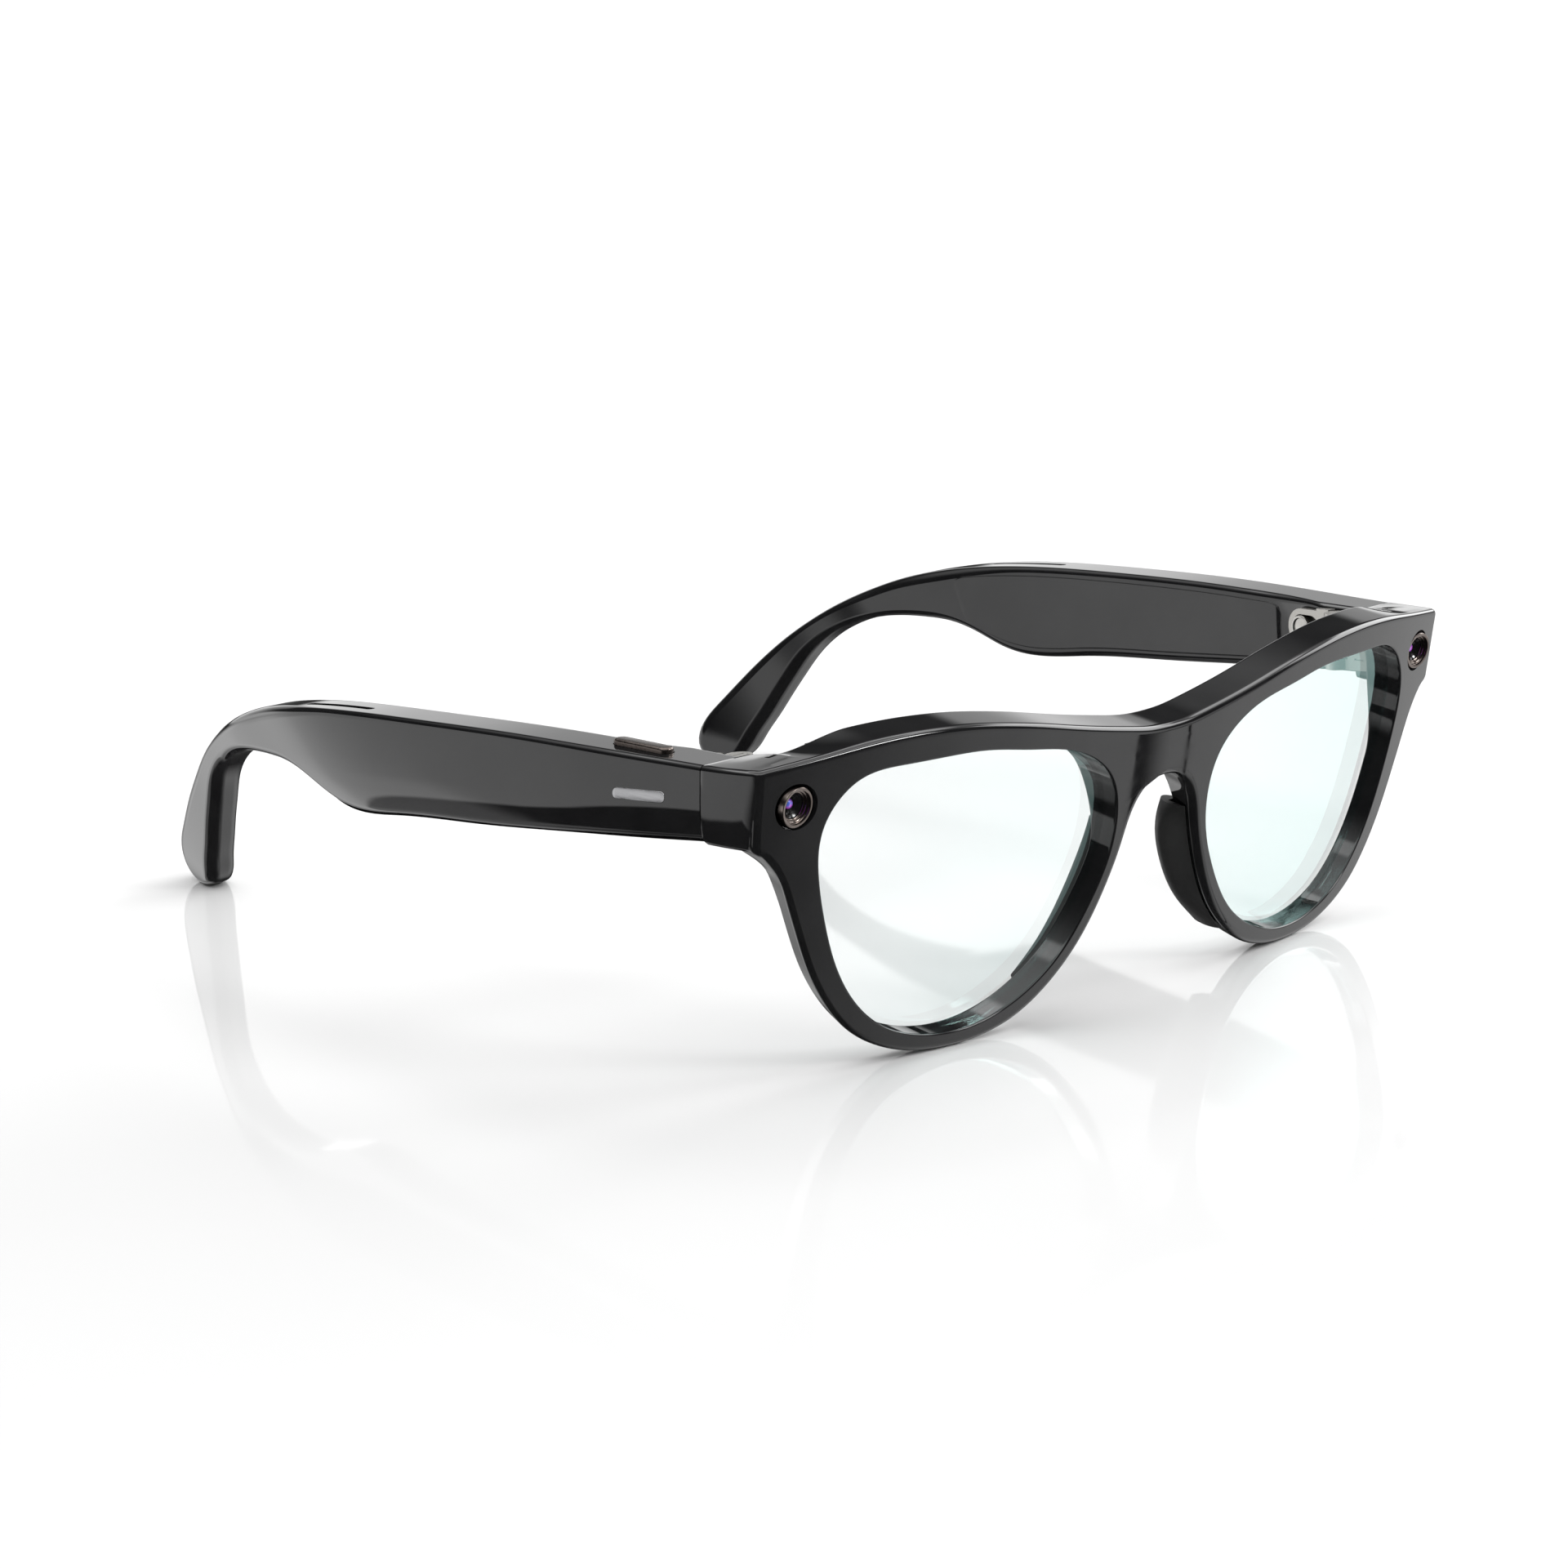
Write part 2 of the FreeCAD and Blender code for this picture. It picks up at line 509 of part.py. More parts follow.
def build():
    front = front_pieces()
    shell, cover, leaf, leaf_room = temple_pieces()
    front_leaf, _, screw_room, _, _, _ = hinge()
    for part in screw_room + [front_leaf]:
        placed = at_hinge(part)
        front = front.cut(placed).cut(mirrored(placed))
    keep("front_frame", largest(front))

    badge = badge_bar()
    shell = shell.cut(leaf_room).cut(leaf).cut(badge).cut(speaker_box(0.06))
    cover = cover.cut(leaf_room)
    keep_pair("temple_badge", badge)
    keep_pair("speaker_grille", vent_bar(1.1, 0.5))

    knob, window, stem_slot = slider_parts()
    left_leaf = leaf.cut(at_hinge(window, -LEAF_ANGLE)).cut(at_hinge(stem_slot, -LEAF_ANGLE))
    left_shell = shell.cut(at_hinge(stem_slot, -LEAF_ANGLE))
    keep("power_slider", at_hinge(knob, -LEAF_ANGLE))
    switch = box((2.75, SLIDER_PLACE - 4.0, -1.0), (4.4, SLIDER_PLACE + 1.9, 3.2))
    switch_room = box((2.65, SLIDER_PLACE - 4.1, -1.1), (4.5, SLIDER_PLACE + 2.0, 3.3))
    slot = stadium(V(2.6, SLIDER_PLACE - SLIDER_TRAVEL / 2, 1.1), V(0, 1, 0), V(0, 0, 1),
                   V(1, 0, 0), SLIDER_TRAVEL + 1.5, 1.5, 1.3)
    switch = at_hinge(switch.cut(slot), -LEAF_ANGLE)
    left_shell = left_shell.cut(at_hinge(switch_room, -LEAF_ANGLE))
    keep("power_switch", switch)
    keep("hinge_temple_leaf_left", left_leaf)
    keep("hinge_temple_leaf_right", mirrored(leaf))

    # Capture button in the top of the wearer's right temple
    along, across, up = V(0, 1, -0.026).normalize(), V(1, 0, 0), V(0, 0.026, 1).normalize()
    cap = stadium(BUTTON - up * 1.2, along, across, up, BUTTON_LENGTH, BUTTON_WIDTH,
                  1.2 + BUTTON_RISE)
    flange = stadium(BUTTON - up * 1.9, along, across, up, BUTTON_LENGTH + 1.2,
                     BUTTON_WIDTH + 1.0, 0.7)
    hole = stadium(BUTTON - up * 1.3, along, across, up, BUTTON_LENGTH + 2 * BUTTON_GAP,
                   BUTTON_WIDTH + 2 * BUTTON_GAP, 4)
    room = stadium(BUTTON - up * 3.6, along, across, up, BUTTON_LENGTH + 1.8,
                   BUTTON_WIDTH + 1.6, 2.45)
    dome = rod(BUTTON - up * 3.1, up, 1.2, 0.55)
    base = box((BUTTON.x - 1.6, BUTTON.y - 2.2, BUTTON.z - 3.55),
               (BUTTON.x + 1.6, BUTTON.y + 2.2, BUTTON.z - 3.05))
    keep("capture_button", mirrored(fuse([cap, flange])))
    keep("capture_switch", mirrored(fuse([base, dome])))
    right_shell = shell.cut(hole).cut(room)
    keep("temple_shell_left", largest(left_shell))
    keep("temple_shell_right", mirrored(largest(right_shell)))
    keep_pair("temple_inner_cover", largest(cover))

    # Electronics inside the temples
    battery = Part.makeBox(3.4, 34.0, 7.2, V(-1.7, -17.0, -3.6))
    battery = slanted(battery.makeFillet(0.8, battery.Edges), V(72.5, 61.5, 34.8))
    keep("battery", battery)
    board = slanted(Part.makeBox(0.8, 34.0, 7.0, V(-0.4, -17.0, -3.5)), V(71.6, 60.5, 34.9))
    chips = [slanted(Part.makeBox(1.1, 8.0, 5.0, V(0.4, y, -2.5)), V(71.6, 60.5, 34.9))
             for y in (-13.5, -3.0, 7.0)]
    keep("main_board", mirrored(fuse([board] + chips)))
    touch = slanted(Part.makeBox(0.3, 30.0, 6.4, V(-0.15, -15.0, -3.2)), V(74.1, 60.5, 34.9))
    keep("touch_sensor", mirrored(touch))
    speaker = speaker_box(0.0)
    keep_pair("speaker", speaker.makeFillet(0.9, speaker.Edges))


def speaker_box(room):
    """The speaker under the sound slot, or the seat it lies in with room all round."""
    size = V(3.6 + 2 * room, 11.0 + 2 * room, 6.0 + 2 * room)
    return slanted(Part.makeBox(size.x, size.y, size.z, size * -0.5), V(72.1, 86.6, 32.9))


def slanted(shape, place):
    """Turn a boxy piece to follow the temple and put its middle at place."""
    turned = shape.rotated(V(0, 0, 0), V(1, 0, 0), -HINGE_TILT)
    return turned.translated(place)


os.makedirs("parts", exist_ok=True)
build()
for name, shape in sorted(PARTS.items()):
    shape.exportStep("parts/" + name + ".step")
    print(name, len(shape.Solids), round(shape.Volume, 1), "valid", shape.isValid())
whole = FreeCAD.BoundBox()
for shape in PARTS.values():
    whole.add(shape.BoundBox)
print("box", [round(value, 2) for value in (whole.XMin, whole.XMax, whole.YMin, whole.YMax,
                                           whole.ZMin, whole.ZMax)], "parts", len(PARTS))
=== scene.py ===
import bmesh
import bpy
import math
import numpy as np
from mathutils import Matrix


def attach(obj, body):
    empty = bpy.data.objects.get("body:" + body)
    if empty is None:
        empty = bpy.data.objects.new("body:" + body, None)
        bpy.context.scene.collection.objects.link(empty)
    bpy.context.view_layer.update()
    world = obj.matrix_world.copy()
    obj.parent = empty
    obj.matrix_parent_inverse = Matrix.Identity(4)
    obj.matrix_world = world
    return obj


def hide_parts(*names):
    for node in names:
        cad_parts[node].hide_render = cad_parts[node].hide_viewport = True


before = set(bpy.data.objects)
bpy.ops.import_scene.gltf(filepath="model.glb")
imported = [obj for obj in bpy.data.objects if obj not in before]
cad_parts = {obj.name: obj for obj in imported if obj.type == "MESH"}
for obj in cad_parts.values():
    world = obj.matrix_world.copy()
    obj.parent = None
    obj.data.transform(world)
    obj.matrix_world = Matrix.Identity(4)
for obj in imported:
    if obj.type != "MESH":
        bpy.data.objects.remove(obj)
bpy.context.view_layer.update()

# Drawn in millimetres with Y = 0 at the bottom of the rims, then shifted into the frame
MM = 0.001
LENGTH_SHIFT = 69.95
SMOOTH = 32.0                # edges sharper than this many degrees stay crisp

# Front
FRONT_TILT = math.radians(7.28)
FRONT_RADIUS = 300.0         # curve of the front seen from above
RIM_DEPTH, BROW_DEPTH = 4.0, 6.75
BROW_FROM, BROW_TO = 22.0, 35.0   # heights between which the rim thickens
BACK_STEP = 0.15             # rear cover and contacts stand this far out of the back
FRONT_EDGE, BACK_EDGE = 0.8, 0.5  # rounding of the outline
HOLE_EDGE, HOLE_BACK_EDGE = 0.28, 0.35   # rounding of the lens openings
LENS_DEPTH, LENS_THICK, LENS_REACH = 2.3, 1.3, 1.012
CAMERA = (66.3, 38.1)
RECESS_R, RECESS_DEPTH = 3.15, 1.6
BORE_R, BORE_DEPTH = 2.8, 4.6
# End pieces: (y, z) of the underside and the top, and x of both, at the front and the joint
BLOCK_LOW = ((5.0, 33.08), (12.22, 33.32))
BLOCK_HIGH = ((3.65, 44.1), (13.02, 43.66))
BLOCK_LOW_X, BLOCK_HIGH_X = (72.0, 74.3), (72.4, 73.42)
BLOCK_INNER, BLOCK_BULGE, BLOCK_RISE = 64.2, 0.22, 0.09

# Temples
HINGE_TILT = math.radians(4.7)
PIVOT = (63.6, 15.4, 38.7)
SLANT = 1.09                 # the faces bend along lines that lean this far along Y per Z
KNUCKLE_SIDE = 65.75         # inner face of the temple beside the knuckles
COVER_SPAN, COVER_INSET, COVER_RISE = (29.0, 102.5), 1.35, 0.12
TIP_RINGS, TIP_SHRINK = 12, 1.9   # the last rings close in on the rounded tip
CREASE = 0.036               # curve of the lower part of the outer face
VENT_ENDS = ((73.3, 78.3, 40.45), (72.7, 93.3, 38.5))
VENT_WIDTH = 1.3
BADGE_PLACE, BADGE_SLOPE = (23.0, 38.2), 0.08
BADGE_LENGTH, BADGE_WIDTH = 9.0, 1.5
BUTTON, BUTTON_SLOPE = (70.7, 26.2, 43.2), 0.026
BUTTON_LENGTH, BUTTON_WIDTH, BUTTON_RISE, BUTTON_GAP = 10.4, 2.3, 0.85, 0.12
BUTTON_EDGE, BUTTON_FOOT, POCKET_FLOOR = 0.42, -1.2, -1.75
SLIDER_R, SLIDER_PLACE, SLIDER_UP, SLIDER_HEIGHT = 1.95, 8.75, 1.1, 0.75
LEAF_ANGLE, LEAF_FACE = math.radians(12.0), 0.35

# Outlines: (x, z) in the front's own frame, and (y, z) along the temples
OPENING = [(58.1, 16.0), (59.8, 20.6), (61.5, 26.9), (61.6, 34.9), (56.8, 40.6), (49.5, 41.8),
           (42.6, 42.0), (35.7, 41.9), (28.3, 40.9), (19.4, 39.3), (11.6, 33.9), (10.2, 24.7),
           (13.7, 16.0), (18.5, 9.5), (24.2, 5.3), (34.6, 2.1), (42.6, 2.6), (49.0, 5.0),
           (54.1, 9.4)]
TOP_EDGE = [(0, 40.2), (4, 40.35), (8, 40.9), (14, 41.9), (20, 43.0), (26, 44.15), (32, 45.1),
            (38, 45.8), (44, 46.1), (50, 46.0), (57, 45.4), (64, 44.5), (72.4, 43.35)]
LOWER_EDGE = [(71.9, 32.2), (70.4, 31.6), (69.2, 30.5), (67.5, 28.0), (65.9, 24.3),
              (64.3, 20.3), (61.6, 14.2), (58.4, 9.1), (54.2, 4.7), (49.5, 2.0), (43.5, 0.2),
              (37.5, -0.3), (31.0, 0.1), (25.0, 1.7), (19.3, 5.2), (15.0, 9.4), (11.6, 14.4),
              (9.2, 19.4), (7.7, 23.5), (6.5, 27.5), (4.9, 30.4), (2.9, 31.9), (0, 32.4)]
TEMPLE_TOP = [(2, 43.95), (12, 43.65), (26, 43.27), (46, 42.59), (66, 41.33), (86, 39.57),
              (98, 37.7), (107, 35.4), (116, 31.8), (123, 27.9), (130.8, 22), (136.8, 16),
              (141.8, 10), (144.7, 5.2), (144.6, 2.3), (142.6, 0.4), (139.6, 0.0)]
TEMPLE_LOW = [(2, 34.8), (12, 33.7), (22, 32.5), (38, 30.6), (54, 28.7), (70, 26.9),
              (81.5, 25.6), (86.5, 26.2), (91.5, 27.7), (97, 28.9), (103, 29.0),
              (109.5, 28.4), (116.4, 26.6), (121.4, 23.8), (125.1, 20), (127.5, 16),
              (129.7, 12), (131.8, 8), (133.5, 5), (134.5, 2.9), (136.4, 0.8), (139.6, 0.0)]
# Sections of the temple: where each one meets the top and the underside, measured along Y
RUNGS = [(12.9, 12.3), (26, 25.5), (46, 45), (66, 65), (80, 78.6), (86, 83.8), (92, 88.5),
         (98, 93), (104, 98), (110, 103.4), (116, 109.5), (123, 116.4), (130.8, 124.4),
         (136.8, 129.7), (141.8, 132.6), (144.72, 134.4)]
# Faces of the temple: x against the place along the lines of SLANT
OUTER_FACE = [(72.3, -50), (73.0, -41.8), (73.67, -31.4), (74.55, -21.2), (75.34, -10.8),
              (75.83, -0.4), (76.21, 10.2), (76.45, 20.9), (76.5, 31.8), (76.3, 42.9),
              (75.5, 54.4), (73.5, 66.7), (71.1, 80), (68.8, 90), (66.6, 100), (64.5, 110),
              (62.6, 120), (60.6, 130), (58.4, 140), (56.4, 148)]
INNER_FACE = [(64.2, -50), (64.3, -36), (64.9, -30), (66.9, -20.8), (67.8, -10.4),
              (68.4, 0.1), (68.85, 10.7), (69.15, 21.5), (69.15, 32.6), (68.7, 43.7),
              (67.5, 55.2), (65.9, 66.7), (64.4, 80), (62.6, 90), (60.8, 100), (58.9, 110),
              (57.1, 120), (55.1, 130), (52.9, 140), (51.0, 148)]


# Curves
def spline(points, closed=False, count=1500):
    """A smooth curve through the points, as evenly spaced places along it."""
    places = np.array(points, float)
    if closed:
        places = np.vstack([places, places[:1]])
    gaps = np.linalg.norm(np.diff(places, axis=0), axis=1)
    size = len(places)
    system = np.zeros((size, size))
    right = np.zeros_like(places)
    for i in range(1, size - 1):
        system[i, i - 1:i + 2] = gaps[i - 1], 2 * (gaps[i - 1] + gaps[i]), gaps[i]
        right[i] = 6 * ((places[i + 1] - places[i]) / gaps[i]
                        - (places[i] - places[i - 1]) / gaps[i - 1])
    system[0, 0] = 1
    if closed:
        system[0, -1] = -1
        system[-1, -2] = gaps[-1]
        system[-1, 0] = 2 * (gaps[-1] + gaps[0])
        system[-1, 1] = gaps[0]
        right[-1] = 6 * ((places[1] - places[0]) / gaps[0]
                         - (places[0] - places[-2]) / gaps[-1])
    else:
        system[-1, -1] = 1
    bend = np.linalg.solve(system, right)
    pieces = []
    for i, gap in enumerate(gaps):
        t = np.linspace(0, gap, 80, endpoint=False)[:, None]
        u = gap - t
        pieces.append((bend[i] * u ** 3 + bend[i + 1] * t ** 3) / (6 * gap)
                      + (places[i] / gap - bend[i] * gap / 6) * u
                      + (places[i + 1] / gap - bend[i + 1] * gap / 6) * t)
    dense = np.vstack(pieces + [places[-1:]])
    return evenly(dense, count)


def lengths(path):
    """How far along the path each of its places lies."""
    steps = np.linalg.norm(np.diff(path, axis=0), axis=1)
    return np.concatenate([[0], np.cumsum(steps)])


def evenly(path, count):
    """The same path as count evenly spaced places."""
    along = lengths(path)
    marks = np.linspace(0, along[-1], count)
    return np.stack([np.interp(marks, along, path[:, i]) for i in range(path.shape[1])], 1)


def nearest(path, point):
    """Index of the place on the path closest to the point."""
    return int(np.argmin(np.linalg.norm(path - np.array(point), axis=1)))


def graph(points):
    """A function from the second value of the points to the first."""
    curve = spline(points)
    order = np.argsort(curve[:, 1])
    return lambda value: np.interp(value, curve[order, 1], curve[order, 0])


def stretch(path, start, end, count, closed=False):
    """Evenly spaced places of path between the ones nearest to start and end."""
    first, last = nearest(path, start), nearest(path, end)
    if closed and last < first:
        run = np.vstack([path[first:-1], path[:last + 1]])
    else:
        run = path[first:last + 1]
    return evenly(run, count + 1)[:-1]


def round_corner(before, after, reach):
    """Join two runs that meet in a corner by a rounded bend."""
    keep = lengths(before) < lengths(before)[-1] - reach
    start = lengths(after) > reach
    head, tail, corner = before[keep], after[start], before[-1]
    t = np.linspace(0, 1, 40)[:, None]
    bend = (1 - t) ** 2 * head[-1] + 2 * t * (1 - t) * corner + t ** 2 * tail[0]
    return np.vstack([head[:-1], bend, tail[1:]])


def ease(value, low, high):
    """A soft step from 0 at low to 1 at high."""
    share = np.clip((value - low) / (high - low), 0, 1)
    return share * share * (3 - 2 * share)


# Places
def bow(x):
    """How far the curved front lies back at x."""
    return FRONT_RADIUS - np.sqrt(FRONT_RADIUS ** 2 - x ** 2)


def rim_depth(z):
    """Thickness of the front, which grows from the rim to the brow."""
    return RIM_DEPTH + (BROW_DEPTH - RIM_DEPTH) * ease(z, BROW_FROM, BROW_TO) - BACK_STEP


def lean(points):
    """From the front's own frame to the upright one."""
    points = np.asarray(points, float)
    y, z = points[..., 1], points[..., 2]
    tilt_c, tilt_s = math.cos(FRONT_TILT), math.sin(FRONT_TILT)
    return np.stack([points[..., 0], y * tilt_c - z * tilt_s, y * tilt_s + z * tilt_c], -1)


def at_hinge(points, turn=0.0):
    """From the hinge's own frame, pin along Z, to the upright one."""
    points = np.asarray(points, float)
    x, y, z = points[..., 0], points[..., 1], points[..., 2]
    x, y = x * math.cos(turn) - y * math.sin(turn), x * math.sin(turn) + y * math.cos(turn)
    y, z = (y * math.cos(HINGE_TILT) + z * math.sin(HINGE_TILT),
            -y * math.sin(HINGE_TILT) + z * math.cos(HINGE_TILT))
    return np.stack([x + PIVOT[0], y + PIVOT[1], z + PIVOT[2]], -1)


outer_at = graph(OUTER_FACE)
inner_at = graph(INNER_FACE)


def slant_of(y, z):
    """Place along the lines that the temple's faces bend round."""
    return y - SLANT * z


def outer_x(y, z):
    return outer_at(slant_of(y, z))


def inner_x(y, z):
    w = slant_of(y, z)
    x = inner_at(w)
    return np.where(w < 0, np.maximum(x, KNUCKLE_SIDE), x)


# Meshes
def make(name, points, faces, smooth=SMOOTH):
    """A mesh object from places in millimetres, shaded smooth below the given angle."""
    points = np.asarray(points, float).reshape(-1, 3) - np.array([0, LENGTH_SHIFT, 0])
    mesh = bpy.data.meshes.new(name)
    mesh.from_pydata((points * MM).tolist(), [], [list(face) for face in faces])
    mesh.validate()
    shade(mesh, smooth)
    obj = bpy.data.objects.new(name, mesh)
    bpy.context.scene.collection.objects.link(obj)
    return obj


def shade(mesh, smooth):
    mesh.polygons.foreach_set("use_smooth", [True] * len(mesh.polygons))
    mesh.set_sharp_from_angle(angle=math.radians(smooth))
    mesh.update()


def ring_faces(rows, columns, close_rows=False):
    """Quads between rows of closed rings of points."""
    faces = []
    for i in range(rows if close_rows else rows - 1):
        j = (i + 1) % rows
        for k in range(columns):
            m = (k + 1) % columns
            faces.append((i * columns + k, i * columns + m, j * columns + m, j * columns + k))
    return faces


def tube(name, rings, smooth=SMOOTH):
    """A closed skin over rings of points, with a flat cap at each end."""
    rings = np.asarray(rings)
    rows, columns = rings.shape[:2]
    faces = ring_faces(rows, columns)
    faces.append(tuple(range(columns))[::-1])
    faces.append(tuple((rows - 1) * columns + k for k in range(columns)))
    obj = make(name, rings, faces, smooth)
    outward(obj.data)
    return obj


def outward(mesh):
    """Turn every face of the mesh outwards."""
    work = bmesh.new()
    work.from_mesh(mesh)
    bmesh.ops.recalc_face_normals(work, faces=work.faces)
    work.to_mesh(mesh)
    work.free()
    mesh.update()


def turned_rings(profile, place, turns):
    """Turn (radius, depth) pairs round an axis; place maps local points to the frame."""
    angle = np.linspace(0, 2 * math.pi, turns, endpoint=False)
    return [place(np.stack([radius * np.cos(angle), np.full(turns, depth),
                            radius * np.sin(angle)], 1)) for radius, depth in profile]


def lathe(name, profile, place, turns=72):
    """A solid turned part."""
    return tube(name, turned_rings(profile, place, turns))


def hollow(name, profile, place, turns=96):
    """A turned part with a hole through it."""
    rings = np.array(turned_rings(profile, place, turns))
    obj = make(name, rings, ring_faces(len(profile), turns, close_rows=True), 28.0)
    outward(obj.data)
    return obj


def prism(name, loop, levels):
    """A stack of copies of a closed loop of (x, y) pairs at the given places."""
    return tube(name, [[level(a, b) for a, b in loop] for level in levels])


def mirror_copy(obj, name):
    """The same piece for the wearer's other side."""
    twin = bpy.data.objects.new(name, obj.data.copy())
    bpy.context.scene.collection.objects.link(twin)
    for vertex in twin.data.vertices:
        vertex.co.x = -vertex.co.x
    twin.data.flip_normals()
    return twin


def combine(obj, other, operation):
    """Join or cut obj with other and keep the result as plain mesh."""
    modifier = obj.modifiers.new("shape", "BOOLEAN")
    modifier.operation = operation
    modifier.solver = "EXACT"
    modifier.object = other
    graph_now = bpy.context.evaluated_depsgraph_get()
    result = bpy.data.meshes.new_from_object(obj.evaluated_get(graph_now))
    obj.modifiers.clear()
    obj.data = result
    bpy.data.objects.remove(other)
    shade(result, SMOOTH)


def stadium_loop(length, width, steps=14, inset=0.0):
    """A flat outline with round ends, as (along, across) pairs."""
    radius = width / 2 - inset
    half = length / 2 - width / 2
    points = []
    for sign in (1, -1):
        for angle in np.linspace(-90, 90, steps):
            a = math.radians(angle)
            points.append((sign * (half + radius * math.cos(a)), sign * radius * math.sin(a)))
    return np.array(points)


# Sections of the temples: round-cornered, between the top and the underside
def corner_run(steps=7):
    """Angles of a quarter turn."""
    return [math.radians(90 * i / (steps - 1)) for i in range(steps)]


def section(low, high, outer, inner, radii, crease=0.0, creased=0.36):
    """One closed ring. low and high are (y, z); radii are for the outer top, inner top,
    inner bottom and outer bottom corners. crease curves the creased share of the height,
    from the underside up, inwards."""
    low, high = np.array(low, float), np.array(high, float)
    height = np.linalg.norm(high - low)
    limit = 0.485 * height
    top_out, top_in, low_in, low_out = [min(r, limit) for r in radii]
    ring = []

    def add(level, side, inset):
        y, z = low + (high - low) * level / height
        x_out, x_in = float(outer(y, z)), float(inner(y, z))
        span = max(0.0, creased * height - level)
        x_out -= crease * span * span
        ring.append((x_out - inset if side == "out" else x_in + inset, y, z))

    for share in (0, 0.02, 0.12, 0.25, 0.4, 0.55, 0.7, 0.85, 0.98):
        add(low_out + share * (height - low_out - top_out), "out", 0.0)
    for angle in corner_run():
        add(height - top_out * (1 - math.sin(angle)), "out", top_out * (1 - math.cos(angle)))
    across(ring, high, outer, inner, top_out, top_in)
    for angle in corner_run():
        add(height - top_in * (1 - math.cos(angle)), "in", top_in * (1 - math.sin(angle)))
    for share in (0.02, 0.15, 0.3, 0.5, 0.7, 0.85, 0.98):
        add(height - top_in - share * (height - low_in - top_in), "in", 0.0)
    for angle in corner_run():
        add(low_in * (1 - math.sin(angle)), "in", low_in * (1 - math.cos(angle)))
    across(ring, low, outer, inner, low_out, low_in, back=True)
    for angle in corner_run()[:-1]:
        add(low_out * (1 - math.cos(angle)), "out", low_out * (1 - math.sin(angle)))
    return ring


def across(ring, place, outer, inner, out_r, in_r, back=False):
    """Add the flat run between two rounded corners to the ring."""
    y, z = place
    start, end = float(outer(y, z)) - out_r, float(inner(y, z)) + in_r
    shares = (0.03, 0.25, 0.5, 0.75, 0.97)
    if back:
        start, end = end, start
    for share in shares:
        ring.append((start + (end - start) * share, y, z))


def rungs(count):
    """Matching places on the temple's top and underside."""
    top, low = spline(TEMPLE_TOP, count=4000), spline(TEMPLE_LOW, count=4000)
    top_len, low_len = lengths(top), lengths(low)

    def length_at(path, along, y, tip):
        if tip:
            return along[-1]
        forward = path[:, 0][:np.argmax(path[:, 0]) + 1]
        return float(np.interp(y, forward, along[:len(forward)]))

    marks = [(length_at(top, top_len, a, False), length_at(low, low_len, b, False))
             for a, b in RUNGS]
    marks.append((top_len[-1], low_len[-1]))
    steps = spline(marks, count=count)
    pairs = []
    for a, b in steps:
        high = [float(np.interp(a, top_len, top[:, i])) for i in range(2)]
        down = [float(np.interp(b, low_len, low[:, i])) for i in range(2)]
        pairs.append((down, high))
    return pairs


def temple_mesh(name):
    """The outer shell of a temple, from the joint face to the tip behind the ear."""
    pairs = rungs(190)
    rings = []
    last = len(pairs)
    for index, (low, high) in enumerate(pairs[:-2]):
        soft = float(ease(high[0], 84, 108))
        radii = (0.75 + 1.5 * soft, 1.0 + 0.9 * soft, 0.9 + 0.9 * soft, 1.0 + 1.1 * soft)
        crease = CREASE * (1 - soft)
        creased = 0.36 + 0.17 * (1 - float(ease(high[0], 13, 45)))
        pull = max(0.0, (index - (last - TIP_RINGS)) / (TIP_RINGS - 1.0))
        shrink = TIP_SHRINK * (1 - math.sqrt(max(0.0, 1 - pull * pull)))
        rings.append(section(low, high,
                             lambda y, z: outer_x(y, z) - shrink,
                             lambda y, z: inner_x(y, z) + shrink, radii, crease, creased))
    return tube(name, rings)


def cover_mesh(name):
    """The panel that closes the inside of a temple."""
    start, end = COVER_SPAN
    rings = []
    pairs = [pair for pair in rungs(260) if start <= pair[1][0] and pair[0][0] <= end - 9]
    count = len(pairs)
    for index, (low, high) in enumerate(pairs):
        low, high = np.array(low), np.array(high)
        way = (high - low) / np.linalg.norm(high - low)
        edge = min(index, count - 1 - index)
        narrow = 1.4 * (1 - math.sqrt(1 - (1 - min(edge, 4) / 4.0) ** 2))
        rise = COVER_RISE if edge > 0 else COVER_RISE - 0.1
        rings.append(section(low + way * (COVER_INSET + narrow),
                             high - way * (COVER_INSET + narrow),
                             lambda y, z: inner_x(y, z) + 0.9,
                             lambda y, z: inner_x(y, z) - rise, (0.1, 0.16, 0.16, 0.1)))
    return tube(name, rings)


# The front
def front_outline():
    """Half of the front's outline from the centre of the brow round to the bridge."""
    top, low = spline(TOP_EDGE), spline(LOWER_EDGE)
    side = np.linspace(top[-1], low[0], 200)
    return round_corner(round_corner(top, side, 1.05), low, 1.0)


# Matching stretches of the outline and of the lens opening, and their number of steps
STRETCHES = [((0, 40.2), (14, 41.9), (12.6, 35.2), (19.4, 39.3), 24),
             ((14, 41.9), (57, 45.4), (19.4, 39.3), (56.8, 40.6), 60),
             ((57, 45.4), (71.3, 43.5), (56.8, 40.6), (60.9, 37.4), 26),
             ((71.3, 43.5), (71.0, 31.85), (60.9, 37.4), (61.75, 33.0), 44),
             ((71.0, 31.85), (67.5, 28.0), (61.75, 33.0), (61.5, 26.9), 20),
             ((67.5, 28.0), (37.5, -0.3), (61.5, 26.9), (36.5, 1.98), 84),
             ((37.5, -0.3), (7.7, 23.5), (36.5, 1.98), (10.2, 24.7), 78),
             ((7.7, 23.5), (0, 32.4), (10.2, 24.7), (10.3, 29.6), 24)]
CENTRE_STEPS = 16


